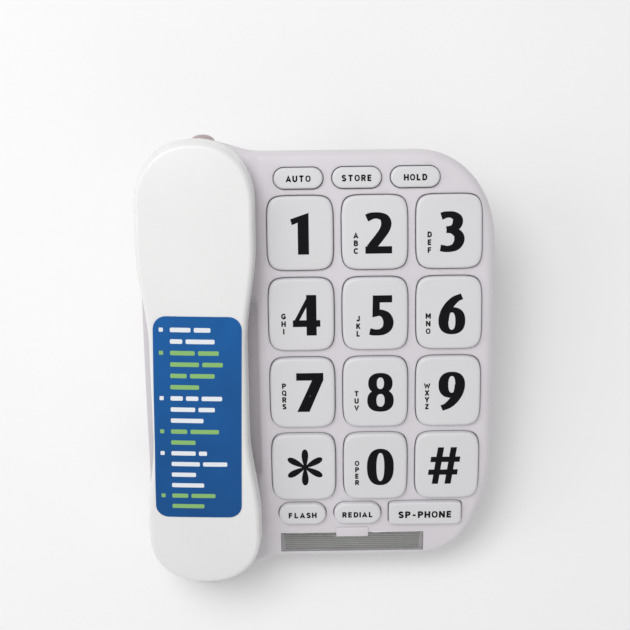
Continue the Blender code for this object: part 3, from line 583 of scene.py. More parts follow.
def grained(nodes, links, shader, fac, depth, strength):
    bump = nodes.new("ShaderNodeBump")
    bump.inputs["Distance"].default_value = depth
    bump.inputs["Strength"].default_value = strength
    links.new(fac, bump.inputs["Height"])
    links.new(bump.outputs["Normal"], shader.inputs["Normal"])


def moulded(name, colour, roughness, tone=0.03, grain=2600, depth=0.00003, strength=0.25, metallic=0.0,
            coat=0.0, specular=0.5):
    """Moulded plastic or plain metal: faint clouding of the colour, uneven gloss and a fine surface grain."""
    material, nodes, links, shader = new_material(name)
    clouds = noise(nodes, links, 34.0)
    dark = [c * (1 - tone) for c in colour]
    light = [min(1.0, c * (1 + tone)) for c in colour]
    tint = two_tone(nodes, links, ranged(nodes, links, clouds, 0, 1), dark, light)
    links.new(tint, shader.inputs["Base Color"])
    smears = noise(nodes, links, 90.0, 5.0, (1, 0.35, 1))
    links.new(ranged(nodes, links, smears, roughness - 0.05, roughness + 0.06), shader.inputs["Roughness"])
    grained(nodes, links, shader, noise(nodes, links, grain, 2.0), depth, strength)
    shader.inputs["Metallic"].default_value = metallic
    shader.inputs["Coat Weight"].default_value = coat
    shader.inputs["Specular IOR Level"].default_value = specular
    return material


def clear(name, colour, roughness, transmission, ior=1.49):
    material = moulded(name, colour, roughness, tone=0.01, strength=0.05)
    shader = material.node_tree.nodes["Principled BSDF"]
    shader.inputs["Transmission Weight"].default_value = transmission
    shader.inputs["IOR"].default_value = ior
    return material


def ruled_card(name):
    """Grey index card with pale rules across it, laid out along Y in object coordinates, which here are the
    world's.
    """
    material, nodes, links, shader = new_material(name)
    place = nodes.new("ShaderNodeTexCoord")
    split = nodes.new("ShaderNodeSeparateXYZ")
    links.new(place.outputs["Object"], split.inputs["Vector"])
    lines = nodes.new("ShaderNodeMath")
    lines.operation = "MULTIPLY"
    lines.inputs[1].default_value = CARD_LINES / CARD_SIZE[1]
    links.new(split.outputs["Y"], lines.inputs[0])
    wave = nodes.new("ShaderNodeMath")
    wave.operation = "PINGPONG"
    wave.inputs[1].default_value = 0.5
    links.new(lines.outputs[0], wave.inputs[0])
    rule = ranged(nodes, links, wave.outputs[0], 0, 1, 0.27, 0.36)
    fibre = ranged(nodes, links, noise(nodes, links, 700.0, 6.0), 0, 1)
    ground = two_tone(nodes, links, fibre, (0.235, 0.24, 0.225), (0.285, 0.29, 0.27))
    blend = nodes.new("ShaderNodeMix")
    blend.data_type = "RGBA"
    links.new(ground, blend.inputs["A"])
    blend.inputs["B"].default_value = (0.56, 0.57, 0.54, 1)
    links.new(rule, blend.inputs["Factor"])
    links.new(blend.outputs["Result"], shader.inputs["Base Color"])
    grained(nodes, links, shader, noise(nodes, links, 2400.0, 4.0), 0.00003, 0.4)
    shader.inputs["Roughness"].default_value = 0.55
    return material


def printed_film(name):
    """Blue sticker film with painted shade: darker towards the mouth end, where the handset's top turns away
    from the light, and a soft woven ghost in the ink.
    """
    material, nodes, links, shader = new_material(name)
    place = nodes.new("ShaderNodeTexCoord")
    split = nodes.new("ShaderNodeSeparateXYZ")
    links.new(place.outputs["Object"], split.inputs["Vector"])
    # Painted shade: the blue deepens towards the mouth end, where the handset's top slopes away from the
    # light.
    painted_shade = ranged(nodes, links, split.outputs["Y"], 0, 1, *LABEL_PAINTED_SHADE)
    ink = two_tone(nodes, links, painted_shade, (0.001, 0.076, 0.270), (0.004, 0.104, 0.350))
    clouds = ranged(nodes, links, noise(nodes, links, 60.0, 5.0), 0.93, 1.10)
    tint = nodes.new("ShaderNodeHueSaturation")
    links.new(ink, tint.inputs["Color"])
    links.new(clouds, tint.inputs["Value"])
    links.new(tint.outputs["Color"], shader.inputs["Base Color"])
    links.new(ranged(nodes, links, noise(nodes, links, 220.0), 0.38, 0.48), shader.inputs["Roughness"])
    shader.inputs["Specular IOR Level"].default_value = 0.3
    grained(nodes, links, shader, noise(nodes, links, 1500.0, 3.0), 0.00002, 0.3)
    return material


def board_green(name):
    """Circuit board: solder mask with copper tracks showing through as lighter lines."""
    material, nodes, links, shader = new_material(name)
    place = nodes.new("ShaderNodeTexCoord")
    tracks = nodes.new("ShaderNodeTexBrick")
    tracks.inputs["Scale"].default_value = 160.0
    tracks.inputs["Color1"].default_value = (0.012, 0.12, 0.045, 1)
    tracks.inputs["Color2"].default_value = (0.015, 0.15, 0.055, 1)
    tracks.inputs["Mortar"].default_value = (0.05, 0.26, 0.10, 1)
    links.new(place.outputs["Object"], tracks.inputs["Vector"])
    links.new(tracks.outputs["Color"], shader.inputs["Base Color"])
    links.new(ranged(nodes, links, noise(nodes, links, 300.0), 0.3, 0.5), shader.inputs["Roughness"])
    grained(nodes, links, shader, tracks.outputs["Fac"], 0.00004, 0.5)
    return material


HANDSET_WHITE = moulded("white_gloss_plastic", (0.870, 0.870, 0.866), 0.30, tone=0.012, strength=0.10,
                        coat=0.15)
SHELL_GREY = moulded("lilac_white_plastic", (0.725, 0.695, 0.730), 0.45, tone=0.018, strength=0.30)
SHELL_UNDER = moulded("lilac_white_plastic_underside", (0.70, 0.685, 0.70), 0.55, grain=1500, strength=0.5)
KEY_GREY = moulded("key_plastic", (0.735, 0.730, 0.745), 0.38, tone=0.015, strength=0.15)
KEY_INK = moulded("key_ink", (0.004, 0.004, 0.006), 0.62, grain=3200, strength=0.5, specular=0.12)
LENS_PINK = clear("lamp_lens", (0.66, 0.55, 0.55), 0.26, 0.35)
LAMP_RED = clear("lamp_red", (0.60, 0.03, 0.02), 0.15, 0.35)
WINDOW_CLEAR = clear("window_clear", (0.97, 0.975, 0.97), 0.06, 0.96)
CARD = ruled_card("ruled_index_card")
FILM = printed_film("blue_label_film")
FILM_WHITE = moulded("label_ink_white", (0.85, 0.88, 0.92), 0.45, strength=0.3)
FILM_GREEN = moulded("label_ink_green", (0.26, 0.52, 0.16), 0.45, strength=0.3)
RUBBER = moulded("foot_rubber", (0.045, 0.045, 0.048), 0.85, tone=0.12, grain=1200, strength=0.7)
SILICONE = moulded("silicone_mat", (0.10, 0.105, 0.115), 0.62, tone=0.06, strength=0.4)
SPEAKER_BLACK = moulded("speaker_black", (0.02, 0.02, 0.021), 0.6, tone=0.15, grain=900, strength=0.8)
SOCKET_BLACK = moulded("socket_black", (0.030, 0.030, 0.033), 0.45, tone=0.1, strength=0.4)
SOCKET_PALE = moulded("socket_pale", (0.70, 0.70, 0.68), 0.38, tone=0.03, strength=0.3)
SWITCH_GREY = moulded("switch_plastic", (0.62, 0.61, 0.62), 0.45, tone=0.03, strength=0.4)
SWITCH_DARK = moulded("switch_plastic_dark", (0.035, 0.035, 0.038), 0.5, tone=0.1, strength=0.5)
STEEL = moulded("screw_steel", (0.56, 0.56, 0.55), 0.32, tone=0.06, grain=1800, strength=0.4, metallic=1.0)
GOLD = moulded("contact_gold", (0.83, 0.60, 0.24), 0.25, tone=0.05, metallic=1.0)
BARE_METAL = moulded("bare_metal", (0.66, 0.66, 0.63), 0.35, tone=0.05, metallic=1.0)
BOARD = board_green("circuit_board")


# ---------------------------------------------------------------- the base's shells

def deck_block(name, stations, rows, bottom, inset, sink, rim, arcs):
    """The base as a solid block: a grid laid over the deck, its border carried round the rim and down."""
    plain = base_ring(stations, rows)
    columns = len(stations)

    def rim_ring(degrees):
        inward, down = rounding(degrees)
        ring = []
        for i, point in enumerate(shrunk(plain, lambda n: inset + rim * edge_radius(n) * inward)):
            drop = rim * edge_radius(outward_at(plain, i)) * down
            ring.append(Vector((point.x, point.y, deck_height(point.x, point.y) - sink - drop)))
        return ring

    border = rim_ring(90)
    front, right = border[:columns], border[columns:columns + rows - 1]
    back = border[columns + rows - 1:2 * columns + rows - 1][::-1]
    left = border[2 * columns + rows - 1:][::-1]

    deselect()
    bpy.ops.mesh.primitive_grid_add(x_subdivisions=columns - 1, y_subdivisions=rows, size=2.0)
    piece = named(name)
    bm = open_edit(piece)
    turn = bm.verts.layers.int.new("turn")
    for vert in bm.verts:
        i = round((vert.co.x + 1) / 2 * (columns - 1))
        j = round((vert.co.y + 1) / 2 * rows)
        if j == 0:
            vert.co, vert[turn] = front[i], i
        elif j == rows:
            vert.co, vert[turn] = back[i], 2 * columns + rows - 2 - i
        elif i == columns - 1:
            vert.co, vert[turn] = right[j - 1], columns + j - 1
        elif i == 0:
            vert.co, vert[turn] = left[j - 1], 2 * columns + 2 * rows - 2 - j
        else:
            point = front[i].lerp(back[i], j / rows)
            vert.co = (point.x, point.y, deck_height(point.x, point.y) - sink)
    only_border(piece)
    rings = [rim_ring(90 - 90 * k / arcs) for k in range(1, arcs + 1)]
    lay_rings(piece, rings + [raised(shrunk(plain, inset), bottom)])
    bpy.ops.mesh.edge_face_add()
    close_edit(piece)
    piece.data.attributes.remove(piece.data.attributes["turn"])
    return piece


def well_outline(grow, count=200):
    """The cradle's well seen from above: the handset's sides drawn in, with round corners."""
    reach_low, reach_high = WELL_LOW - grow, WELL_HIGH + grow
    fine = 400
    right = [Vector((0, reach_low, 0))]
    for i in range(fine + 1):
        s = mix(reach_low, reach_high, 0.5 - 0.5 * math.cos(math.pi * i / fine))
        side = half_width(min(WELL_HIGH, max(WELL_LOW, s))) - WELL_INSET + grow
        side = min(side, WELL_HALF_WIDTH + grow)
        past = max(0.0, (reach_low + WELL_CORNER - s) / WELL_CORNER,
                   (s - reach_high + WELL_CORNER) / WELL_CORNER)
        side -= WELL_CORNER * (1 - math.sqrt(max(0.0, 1 - past * past)))
        right.append(Vector((side, s, 0)))
    right.append(Vector((0, reach_high, 0)))
    return mirrored(evenly(right, count // 2))


def to_spine(point):
    """The place on the handset's middle line that a point of its outline closes towards."""
    return Vector((0, min(HALF_LENGTH - EAR_CAP + 0.004, max(-HALF_LENGTH + MOUTH_CAP - 0.004, point.y)), 0))


def closing_rings(edge, shares, level):
    """Rings that close from an edge ring on the middle line, each at its own height."""
    rings = []
    for share in shares:
        ring = []
        for point in edge:
            spine = to_spine(point)
            p = spine + (Vector((point.x, point.y, 0)) - spine) * share
            ring.append(Vector((p.x, p.y, level(p, share))))
        rings.append(ring)
    return rings


def trough_outline(right_side, low, high, round_off=0.005, steps=8, rows=20):
    """Finger room beside the grip: its right side has round corners, its left one lies beyond the base."""
    turns = [rounding(90 * k / steps) for k in range(steps + 1)]
    path = [(TROUGH_MIDDLE, low)]
    path += [(right_side - round_off * down, low + round_off * inward) for inward, down in turns]
    path += [(right_side, mix(low + round_off, high - round_off, k / rows)) for k in range(1, rows)]
    path += [(right_side - round_off * inward, high - round_off * down) for inward, down in turns]
    path.append((TROUGH_MIDDLE, high))
    return polygon(*path, *((TROUGH_LEFT, y) for _, y in path[-2:0:-1]))


def cradle_cutter(grow, lip):
    """The room for the handset's cups and for fingers under its grip. lip rounds its upper edge."""
    floor = CRADLE_LEVEL - grow

    def lip_ring(ring, drop):
        return raised(ring, lambda p: sunk_level(p.x, p.y) - drop + LIP_CLEARANCE)

    def upright(name, rings):
        piece = loft(name, [*rings, raised(rings[-1], CUTTER_TOP)], closed=False)
        fill_rim(piece)
        return piece

    outline = well_outline(grow)
    rings = closing_rings(shrunk(outline, WELL_FILLET), (0.0, 0.5), lambda p, t: deck_level(p.y) + floor)
    for inward, down in map(rounding, (0, 30, 60, 90)):
        rings.append(raised(shrunk(outline, WELL_FILLET * down),
                            lambda p: deck_level(p.y) + floor + WELL_FILLET * inward))
    for inward, down in map(rounding, (0, 30, 60, 90)):
        rings.append(lip_ring(shrunk(outline, -lip * inward), lip * down))
    well = upright("well", rings)

    low, high = TROUGH_LOW - grow, TROUGH_HIGH + grow
    steps = [(side, low + draw, high - draw, rise) for side, rise, draw in TROUGH_STEPS]
    outline = trough_outline(steps[0][0] + grow, *steps[0][1:3])
    rings = [[Vector((TROUGH_MIDDLE, p.y, deck_level(p.y) + floor - TROUGH_SINK)) for p in outline]]
    for side, near, far, rise in steps:
        rings.append(raised(trough_outline(side + grow, near, far),
                            lambda p: deck_level(p.y) + floor - TROUGH_SINK + rise))
    for inward, down in map(rounding, (30, 60, 90)):
        out = lip * inward
        rings.append(lip_ring(trough_outline(TROUGH_REACH + grow + out, low - out, high + out), lip * down))
    return moved(cut(well, upright("trough", rings), "UNION"), HANDSET_FRAME)


def rounded_ring(width, height, power, grow, level, sides=64):
    """A rounded rectangle, more square as power rises. level may follow the deck's arc."""
    half_x, half_y = width / 2 + grow, height / 2 + grow
    ring = []
    for i in range(sides):
        a = 2 * math.pi * i / sides
        c, s = math.cos(a), math.sin(a)
        x = math.copysign(abs(c) ** (2 / power), c) * half_x
        y = math.copysign(abs(s) ** (2 / power), s) * half_y
        ring.append(Vector((x, y, level(y) if callable(level) else level)))
    return ring


def pill_ring(width, height, grow, level, sides=48):
    """A rectangle with half-round ends."""
    radius, straight = height / 2 + grow, (width - height) / 2
    ring = []
    for i in range(sides):
        a = 2 * math.pi * (i + 0.5) / sides
        x, y = math.copysign(straight, math.cos(a)) + radius * math.cos(a), radius * math.sin(a)
        ring.append(Vector((x, y, level(y) if callable(level) else level)))
    return ring


def key_ring(kind, grow, level):
    if "pill" in kind:
        return pill_ring(*KEY_SIZES[kind], grow, level)
    return rounded_ring(*KEY_SIZES[kind], KEY_SQUARENESS[kind], grow, level)


def key_places():
    """Name, kind and place on the deck of every key."""
    numbers = ("1", "2", "3", "4", "5", "6", "7", "8", "9", "star", "0", "hash")
    places = []
    for i, label in enumerate(numbers):
        row, column = divmod(i, 3)
        places.append(("key_" + label, "number", (1.5 - row) * KEY_PITCH_Y, (column - 1) * KEY_PITCH_X))
    for i, label in enumerate(("auto", "store", "hold")):
        places.append(("key_" + label, "pill", 0.0821, -0.0349 + 0.0269 * i))
    for i, label in enumerate(("flash", "redial")):
        places.append(("key_" + label, "low_pill", -0.0822, -0.0354 + 0.0268 * i))
    places.append(("key_speakerphone", "oblong", -0.0826, 0.0243))
    return places


def arc_drop(y):
    """How far the deck falls below a key's own plane at y."""
    return -y * y / (2 * DECK_RADIUS)


def key_hole(kind):
    lip = 0.00028
    steps = [(0.0, -0.012), (0.0, -lip), (lip * 0.3, -lip * 0.35), (lip, 0.00002)]
    rings = [key_ring(kind, HOLE_CLEARANCE + grow, lambda y, z=rise: arc_drop(y) + z) for grow, rise in steps]
    rings.append(key_ring(kind, HOLE_CLEARANCE + lip, 0.012))
    return loft("hole", rings)


def make_base_top():
    shell = deck_block("base_top", outline_stations(5, 66), 72, PARTING_Z + GAP, 0.0, 0.0, 1.0, 8)
    cut(shell, cradle_cutter(0.0, 0.0012))
    inside = deck_block("inside", outline_stations(15, 14), 16, PARTING_Z - 0.003, WALL, WALL, 0.5, 2)
    cut(inside, cradle_cutter(WALL, 0.0004))
    cut(shell, inside)
    holes = [moved(key_hole(kind), on_deck(along, across)) for _, kind, along, across in key_places()]
    cut(shell, joined("holes", holes))

    pocket = Vector((WINDOW_SIZE[0] / 2 + GAP, WINDOW_SIZE[1] / 2 + GAP, 0))
    holes = [moved(block("hole", -pocket - Vector((0, 0, 0.0017)), pocket + Vector((0, 0, 0.004)), 0.0004, 2),
                   on_deck(WINDOW_ALONG, WINDOW_ACROSS))]
    half = JACK_BODY / 2 + GAP
    holes.append(hole_about(LINE_JACK, (half, 0.006, half), (half, 0.004, half), 0.0006))
    holes.append(hole_about(SIDE_JACK, (0.004, half, half), (0.006, half, half), 0.0006))
    seat = LENS_RADIUS + GAP
    profile = [(seat, -0.006), (seat, -0.0004), (seat + 0.0004, 0.0001), (seat + 0.0004, 0.004)]
    holes.append(moved(turned("hole", profile, 48), LENS_PLACE))
    holes.append(moved(turned("hole", [(PLUNGER_RADIUS + 0.0005, -0.02), (PLUNGER_RADIUS + 0.0005, 0.0)], 40),
                       HANDSET_FRAME @ Matrix.Translation((0, PLUNGER_S, 0))))
    holes.append(hole_about(VOLUME_SLIDE, (0.006, 0.008, 0.0017), (0.004, 0.008, 0.0017), 0.0003))
    holes.append(hole_about(VOLUME_SLIDE, (0.0012, 0.010, 0.0034), (0.004, 0.010, 0.0034), 0.0008, 3))
    for _, x in BACK_SWITCHES:
        place = Vector((x, BASE_BACK, BACK_SWITCH_Z))
        holes.append(hole_about(place, (0.0052, 0.006, 0.0017), (0.0052, 0.004, 0.0017), 0.0003))
        holes.append(hole_about(place, (0.0064, 0.0005, 0.0030), (0.0064, 0.004, 0.0030), 0.0006))
    for dx in (-0.0022, 0.0, 0.0022):
        place = Matrix.Translation((MIC_X + dx, BASE_FRONT - 0.003, MIC_Z))
        holes.append(moved(turned("hole", [(0.0006, 0.0), (0.0006, 0.006)], 16),
                           place @ Matrix.Rotation(math.radians(-90), 4, "X")))
    finished(drilled(shell, holes), "base", "base_plastic", SHELL_GREY, "base_top_shell", angle=32)


def make_base_bottom():
    plain = base_ring(outline_stations(5, 20), 16)
    edge = 0.0012
    steps = [(WALL, FOOT_HEIGHT + FLOOR_THICKNESS), (WALL, PARTING_Z), (0.0, PARTING_Z),
             (0.0, FOOT_HEIGHT + edge)]
    steps += [(edge * inward, FOOT_HEIGHT + edge * down) for inward, down in map(rounding, (30, 60, 90))]
    shell = loft("base_bottom", [raised(shrunk(plain, inset), z) for inset, z in steps])
    holes = []
    for x, y in BOSS_PLACES:
        pocket = turned("hole", [(0.0038, -0.001), (0.0038, 0.0001), (0.0034, 0.0005), (0.0034, 0.0010),
                                 (0.0017, 0.0010), (0.0017, 0.0045)], 32)
        holes.append(moved(pocket, Matrix.Translation((x, y, FOOT_HEIGHT))))
    for y in KEYHOLES_Y:
        hole = turned("hole", [(0.0042, -0.001), (0.0042, 0.003)], 32)
        slot = block("slot", (-0.0022, y, FOOT_HEIGHT - 0.001), (0.0022, y + 0.010, FOOT_HEIGHT + 0.003),
                     0.0010, 3)
        holes.append(cut(moved(hole, Matrix.Translation((0, y, FOOT_HEIGHT))), slot, "UNION"))
    for i in range(7):
        x = SPEAKER_X + 0.005 * (i - 3)
        reach = math.sqrt(0.019 ** 2 - (x - SPEAKER_X) ** 2)
        ring = [Vector((x + p.y, SPEAKER_Y + p.x, 0)) for p in pill_ring(2 * reach, 0.002, 0, 0, 24)]
        holes.append(loft("hole", [raised(ring[::-1], z) for z in (0.0, 0.0055)]))
    finished(drilled(shell, holes), "base", "base_plastic", SHELL_UNDER, "base_bottom_shell")


# ---------------------------------------------------------------- keys and their print

def side_of(along):
    return Vector((-along.y, along.x, 0))


def pen_stroke(path, vertical=0.250, level=0.150):
    """Outline of a broad pen's line: thick where it runs up or down, thinner where level."""
    left, right = [], []
    for i, point in enumerate(path):
        along = (path[min(i + 1, len(path) - 1)] - path[max(i - 1, 0)]).normalized()
        side = side_of(along) * (mix(level, vertical, abs(along.y) ** 1.4) / 2)
        left.append(point + side)
        right.append(point - side)
    return left + right[::-1]


def even_stroke(path, width):
    """Outline of a line of even width with mitred corners."""
    left, right = [], []
    for i, point in enumerate(path):
        before = (path[max(i, 1)] - path[max(i, 1) - 1]).normalized()
        after = (path[min(i + 1, len(path) - 1)] - path[min(i, len(path) - 2)]).normalized()
        side = side_of((before + after).normalized())
        side *= width / 2 / max(0.55, side.dot(side_of(before)))
        left.append(point + side)
        right.append(point - side)
    return left + right[::-1]


def curve_through(points, per_span=7):
    """A smooth line through given points."""
    points = [Vector((*p, 0)) for p in points]
    ends = [points[0] * 2 - points[1]] + points + [points[-1] * 2 - points[-2]]
    line = []
    for a, b, c, d in zip(ends, ends[1:], ends[2:], ends[3:]):
        for k in range(per_span):
            t = k / per_span
            line.append(0.5 * (2 * b + (c - a) * t + (2 * a - 5 * b + 4 * c - d) * t * t
                               + (3 * b - a - 3 * c + d) * t ** 3))
    return line + [points[-1]]


def oval(x, y, reach_x, reach_y, sides=48, power=2.35):
    """A slightly square oval."""
    ring = []
    for i in range(sides):
        c, s = math.cos(2 * math.pi * i / sides), math.sin(2 * math.pi * i / sides)
        ring.append(Vector((x + reach_x * math.copysign(abs(c) ** (2 / power), c),
                            y + reach_y * math.copysign(abs(s) ** (2 / power), s), 0)))
    return ring


def slab(outline, scale):
    """A thin plate of ink with this outline."""
    return loft("ink", [scaled(outline, scale, z) for z in (INK_ROOT, INK)])


def ring_slab(outer, inner, scale):
    """A thin band of ink between two ovals, each given as x, y and its reaches."""
    outer, inner = oval(*outer), oval(*inner)
    rings = [(inner, INK), (inner, INK_ROOT), (outer, INK_ROOT), (outer, INK), (inner, INK)]
    return loft("ink", [scaled(ring, scale, z) for ring, z in rings], closed=False)


def line_slab(points, scale, **widths):
    return slab(pen_stroke(curve_through(points), **widths), scale)


def numeral(digit, scale):
    """The parts of a heavy upright numeral of height 1, its left edge at 0, and its width."""
    if digit == "1":
        stem = polygon((0, 0.85), (0.44, 1), (0.44, 0), (0.175, 0), (0.175, 0.765), (0.035, 0.71))
        return [slab(stem, scale)], 0.44
    if digit == "2":
        arc = ((0.035, 0.855), (0.16, 0.905), (0.31, 0.912), (0.445, 0.86), (0.505, 0.73), (0.462, 0.57),
               (0.345, 0.40), (0.225, 0.25), (0.125, 0.12))
        foot = polygon((0, 0), (0.64, 0), (0.64, 0.175), (0, 0.175))
        return [line_slab(arc, scale), slab(foot, scale)], 0.64
    if digit == "3":
        top = ((0.045, 0.875), (0.17, 0.912), (0.31, 0.905), (0.42, 0.83), (0.43, 0.70), (0.34, 0.59),
               (0.17, 0.55))
        low = ((0.17, 0.55), (0.33, 0.525), (0.455, 0.42), (0.468, 0.27), (0.37, 0.135), (0.20, 0.088),
               (0.02, 0.115))
        return [line_slab(top, scale), line_slab(low, scale)], 0.60
    if digit == "4":
        stem = polygon((0.33, 0), (0.575, 0), (0.575, 1), (0.33, 1))
        bar = polygon((0, 0.215), (0.665, 0.215), (0.665, 0.38), (0, 0.38))
        slope = polygon((0, 0.30), (0.138, 0.34), (0.42, 0.87), (0.42, 1), (0.375, 1))
        return [slab(stem, scale), slab(bar, scale), slab(slope, scale)], 0.665
    if digit == "5":
        bar = polygon((0.085, 0.825), (0.555, 0.825), (0.555, 1), (0.085, 1))
        stem = polygon((0.075, 0.46), (0.255, 0.50), (0.255, 0.90), (0.085, 0.90))
        bowl = ((0.10, 0.55), (0.25, 0.575), (0.39, 0.51), (0.463, 0.36), (0.43, 0.20), (0.31, 0.105),
                (0.15, 0.085), (0.01, 0.11))
        return [slab(bar, scale), slab(stem, scale), line_slab(bowl, scale)], 0.60
    if digit in "69":
        stem = ((0.565, 0.935), (0.42, 0.87), (0.28, 0.74), (0.175, 0.57), (0.133, 0.42), (0.130, 0.33))
        parts = [ring_slab((0.325, 0.335, 0.325, 0.335), (0.325, 0.325, 0.085, 0.215), scale),
                 line_slab(stem, scale, level=0.12)]
        if digit == "9":
            turn = Matrix.Translation((0.65 * scale, scale, 0)) @ Matrix.Rotation(math.pi, 4, "Z")
            parts = [moved(part, turn) for part in parts]
        return parts, 0.65
    if digit == "7":
        bar = polygon((0, 0.81), (0.665, 0.81), (0.665, 1), (0, 1))
        slope = polygon((0.015, 0), (0.315, 0), (0.665, 0.82), (0.665, 0.93), (0.45, 0.93), (0.385, 0.81))
        return [slab(bar, scale), slab(slope, scale)], 0.665
    if digit == "8":
        return [ring_slab((0.322, 0.735, 0.298, 0.265), (0.322, 0.735, 0.087, 0.148), scale),
                ring_slab((0.325, 0.290, 0.325, 0.290), (0.325, 0.293, 0.100, 0.165), scale)], 0.65
    if digit == "0":
        return [ring_slab((0.335, 0.5, 0.335, 0.5), (0.335, 0.5, 0.098, 0.385), scale)], 0.67
    if digit == "hash":
        lean = 0.14
        bars = [polygon((x, 0), (x + 0.155, 0), (x + 0.155 + lean, 1), (x + lean, 1)) for x in (0.10, 0.42)]
        bars += [polygon((x, y), (x + 0.73, y), (x + 0.75, y + 0.145), (x + 0.02, y + 0.145))
                 for x, y in ((0.0, 0.25), (0.055, 0.60))]
        return [slab(bar, scale) for bar in bars], 0.80
    petals = []
    for i in range(6):
        angles = [2 * math.pi * k / 28 for k in range(28)]
        teardrop = polygon(*((0.115 * math.sin(a) * (0.30 + 0.70 * math.sin(a / 2) ** 2),
                              0.235 - 0.26 * math.cos(a)) for a in angles))
        turn = Matrix.Rotation(math.radians(60 * i), 4, "Z")
        petals.append(moved(slab(teardrop, scale), Matrix.Translation((0.38 * scale, 0.5 * scale, 0)) @ turn))
    return petals, 0.76


def letter(sign, height):
    """One small capital of even strokes, centred on X, and its width."""
    lines = LETTER_LINES[sign]
    paths = [curve_through(points, 3) if len(points) > 4 else polygon(*points) for points in lines]
    parts = [slab(even_stroke(path, LETTER_STROKE), height) for path in paths]
    reach = max([abs(x) for points in lines for x, _ in points], default=0) + LETTER_STROKE / 2
    if sign in "OQ":
        parts.insert(0, ring_slab((0, 0.5, 0.41, 0.5), (0, 0.5, 0.195, 0.29), height))
        reach = 0.41
    return united(parts), 2 * reach * height


def word(text, height):
    """Letters side by side, their middle at the origin."""
    placed, across = [], 0.0
    for sign in text:
        piece, width = letter(sign, height)
        placed.append(moved(piece, Matrix.Translation((across + width / 2, -height / 2, 0))))
        across += width + LETTER_SPACE * height
    middle = (across - LETTER_SPACE * height) / 2
    return [moved(piece, Matrix.Translation((-middle, 0, 0))) for piece in placed]


def key_top(kind, x, y):
    """Height of a key's crowned top over its own plane."""
    width, height = KEY_SIZES[kind]
    r2 = (2 * x / width) ** 2 + (2 * y / height) ** 2
    return KEY_RISE - KEY_CROWN * min(1.0, r2) * 0.5


def key_print(label, kind):
    """The ink on one key, laid on its crowned top."""
    if kind == "number":
        across, up, letters_across, letters_up = (tenths * 0.0001 for tenths in PRINT_SHIFTS[label])
        group = LETTER_GROUPS.get(label, "")
        glyphs, width = numeral(label, NUMERAL_HEIGHT)
        middle = 0.0024 if group else 0.0
        place = (across + middle - width * NUMERAL_HEIGHT / 2, NUMERAL_LOW + up, 0)
        parts = [moved(united(glyphs), Matrix.Translation(place))]
        pitch = 0.0036 if len(group) == 3 else 0.0034
        for i, sign in enumerate(reversed(group)):
            place = (letters_across - 0.0089, NUMERAL_LOW + letters_up + pitch * i, 0)
            parts.append(moved(letter(sign, LETTER_HEIGHT)[0], Matrix.Translation(place)))
    else:
        height = OBLONG_WORD_HEIGHT if kind == "oblong" else WORD_HEIGHT
        down = Matrix.Translation((0, -0.0003, 0))
        parts = [moved(piece, down) for piece in word(FUNCTIONS[label], height)]
    ink = joined("ink", parts)
    for vert in ink.data.vertices:
        vert.co.z += key_top(kind, vert.co.x, vert.co.y)
    return ink


def make_key(name, kind, along, across):
    edge = KEY_EDGE if kind == "number" else SMALL_KEY_EDGE

    def on_top(ring, drop=0.0):
        return raised(ring, lambda p: key_top(kind, p.x, p.y) - drop)

    rings = [key_ring(kind, KEY_FLANGE, FLANGE_BOTTOM), key_ring(kind, KEY_FLANGE, FLANGE_TOP),
             key_ring(kind, KEY_DRAW, FLANGE_TOP)]
    for inward, down in map(rounding, range(0, 91, 15)):
        rings.append(on_top(key_ring(kind, KEY_DRAW - edge * inward, 0.0), edge * 0.85 * down))
    rim = rings[-1]
    for share in (0.88, 0.72, 0.5, 0.25):
        rings.append(on_top(scaled(rim, share, 0)))
    cap = loft(name, rings)
    cap.data.materials.append(KEY_GREY)
    ink = key_print(name[len("key_"):], kind)
    ink.data.materials.clear()
    ink.data.materials.append(KEY_INK)
    key = moved(joined(name + "_cap", [cap, ink]), on_deck(along, across))
    finished(key, name, "key_plastic", None, name, angle=28)


# ---------------------------------------------------------------- the handset

def jack_slot():
    return block("hole", (-0.0062, -0.120, -0.0052), (0.0062, -0.092, 0.0052), 0.0006)


def handset_top(x, s):
    """The back shell's top: slightly crowned, with a rounded edge."""
    inset = half_width(s) - abs(x) - TOP_LEAN
    if inset < TOP_EDGE:
        a = math.acos(1 - max(0.0, inset) / TOP_EDGE)
        return top_level(s) - TOP_CROWN - TOP_EDGE_DROP * (1 - math.sin(a))
    share = abs(x) / (half_width(s) - TOP_EDGE - TOP_LEAN)
    return top_level(s) - TOP_CROWN * share * share


def make_handset_back():
    outline = handset_outline()
    inner = shrunk(outline, HANDSET_WALL + 0.0030)
    rings = closing_rings(inner, (0.0, 0.4, 0.8, 1.0), lambda p, t: top_level(p.y) - 0.0030)
    for inset, drop in ((HANDSET_WALL + 0.0008, 0.0052), (HANDSET_WALL, PARTING_DROP), (0.0003, PARTING_DROP),
                        (0.0, PARTING_DROP - 0.0003), (TOP_LEAN * 0.5, 0.0070)):
        rings.append(raised(shrunk(outline, inset), lambda p: top_level(p.y) - drop))
    for inward, down in map(rounding, range(0, 91, 9)):
        rings.append(raised(shrunk(outline, TOP_LEAN + TOP_EDGE * inward),
                            lambda p: top_level(p.y) - TOP_CROWN - TOP_EDGE_DROP * down))
    shares = (0.93, 0.85, 0.72, 0.58, 0.44, 0.30, 0.15, 0.0)
    rings += closing_rings(shrunk(outline, TOP_EDGE + TOP_LEAN), shares,
                           lambda p, t: top_level(p.y) - TOP_CROWN * t * t)
    shell = cut(loft("handset_back", rings, closed=False), jack_slot())
    finished(moved(shell, HANDSET_FRAME), "handset", "handset_plastic", HANDSET_WHITE, "handset_back_shell")


def dish(x, s):
    """Shallow round hollows over the earpiece and the microphone."""
    ear = math.hypot(x, s - EAR_S)
    mouth = math.hypot(x, s - MOUTH_S)
    return 0.0008 * (1 - smooth((ear - 0.0125) / 0.004)) + 0.0006 * (1 - smooth((mouth - 0.0060) / 0.003))


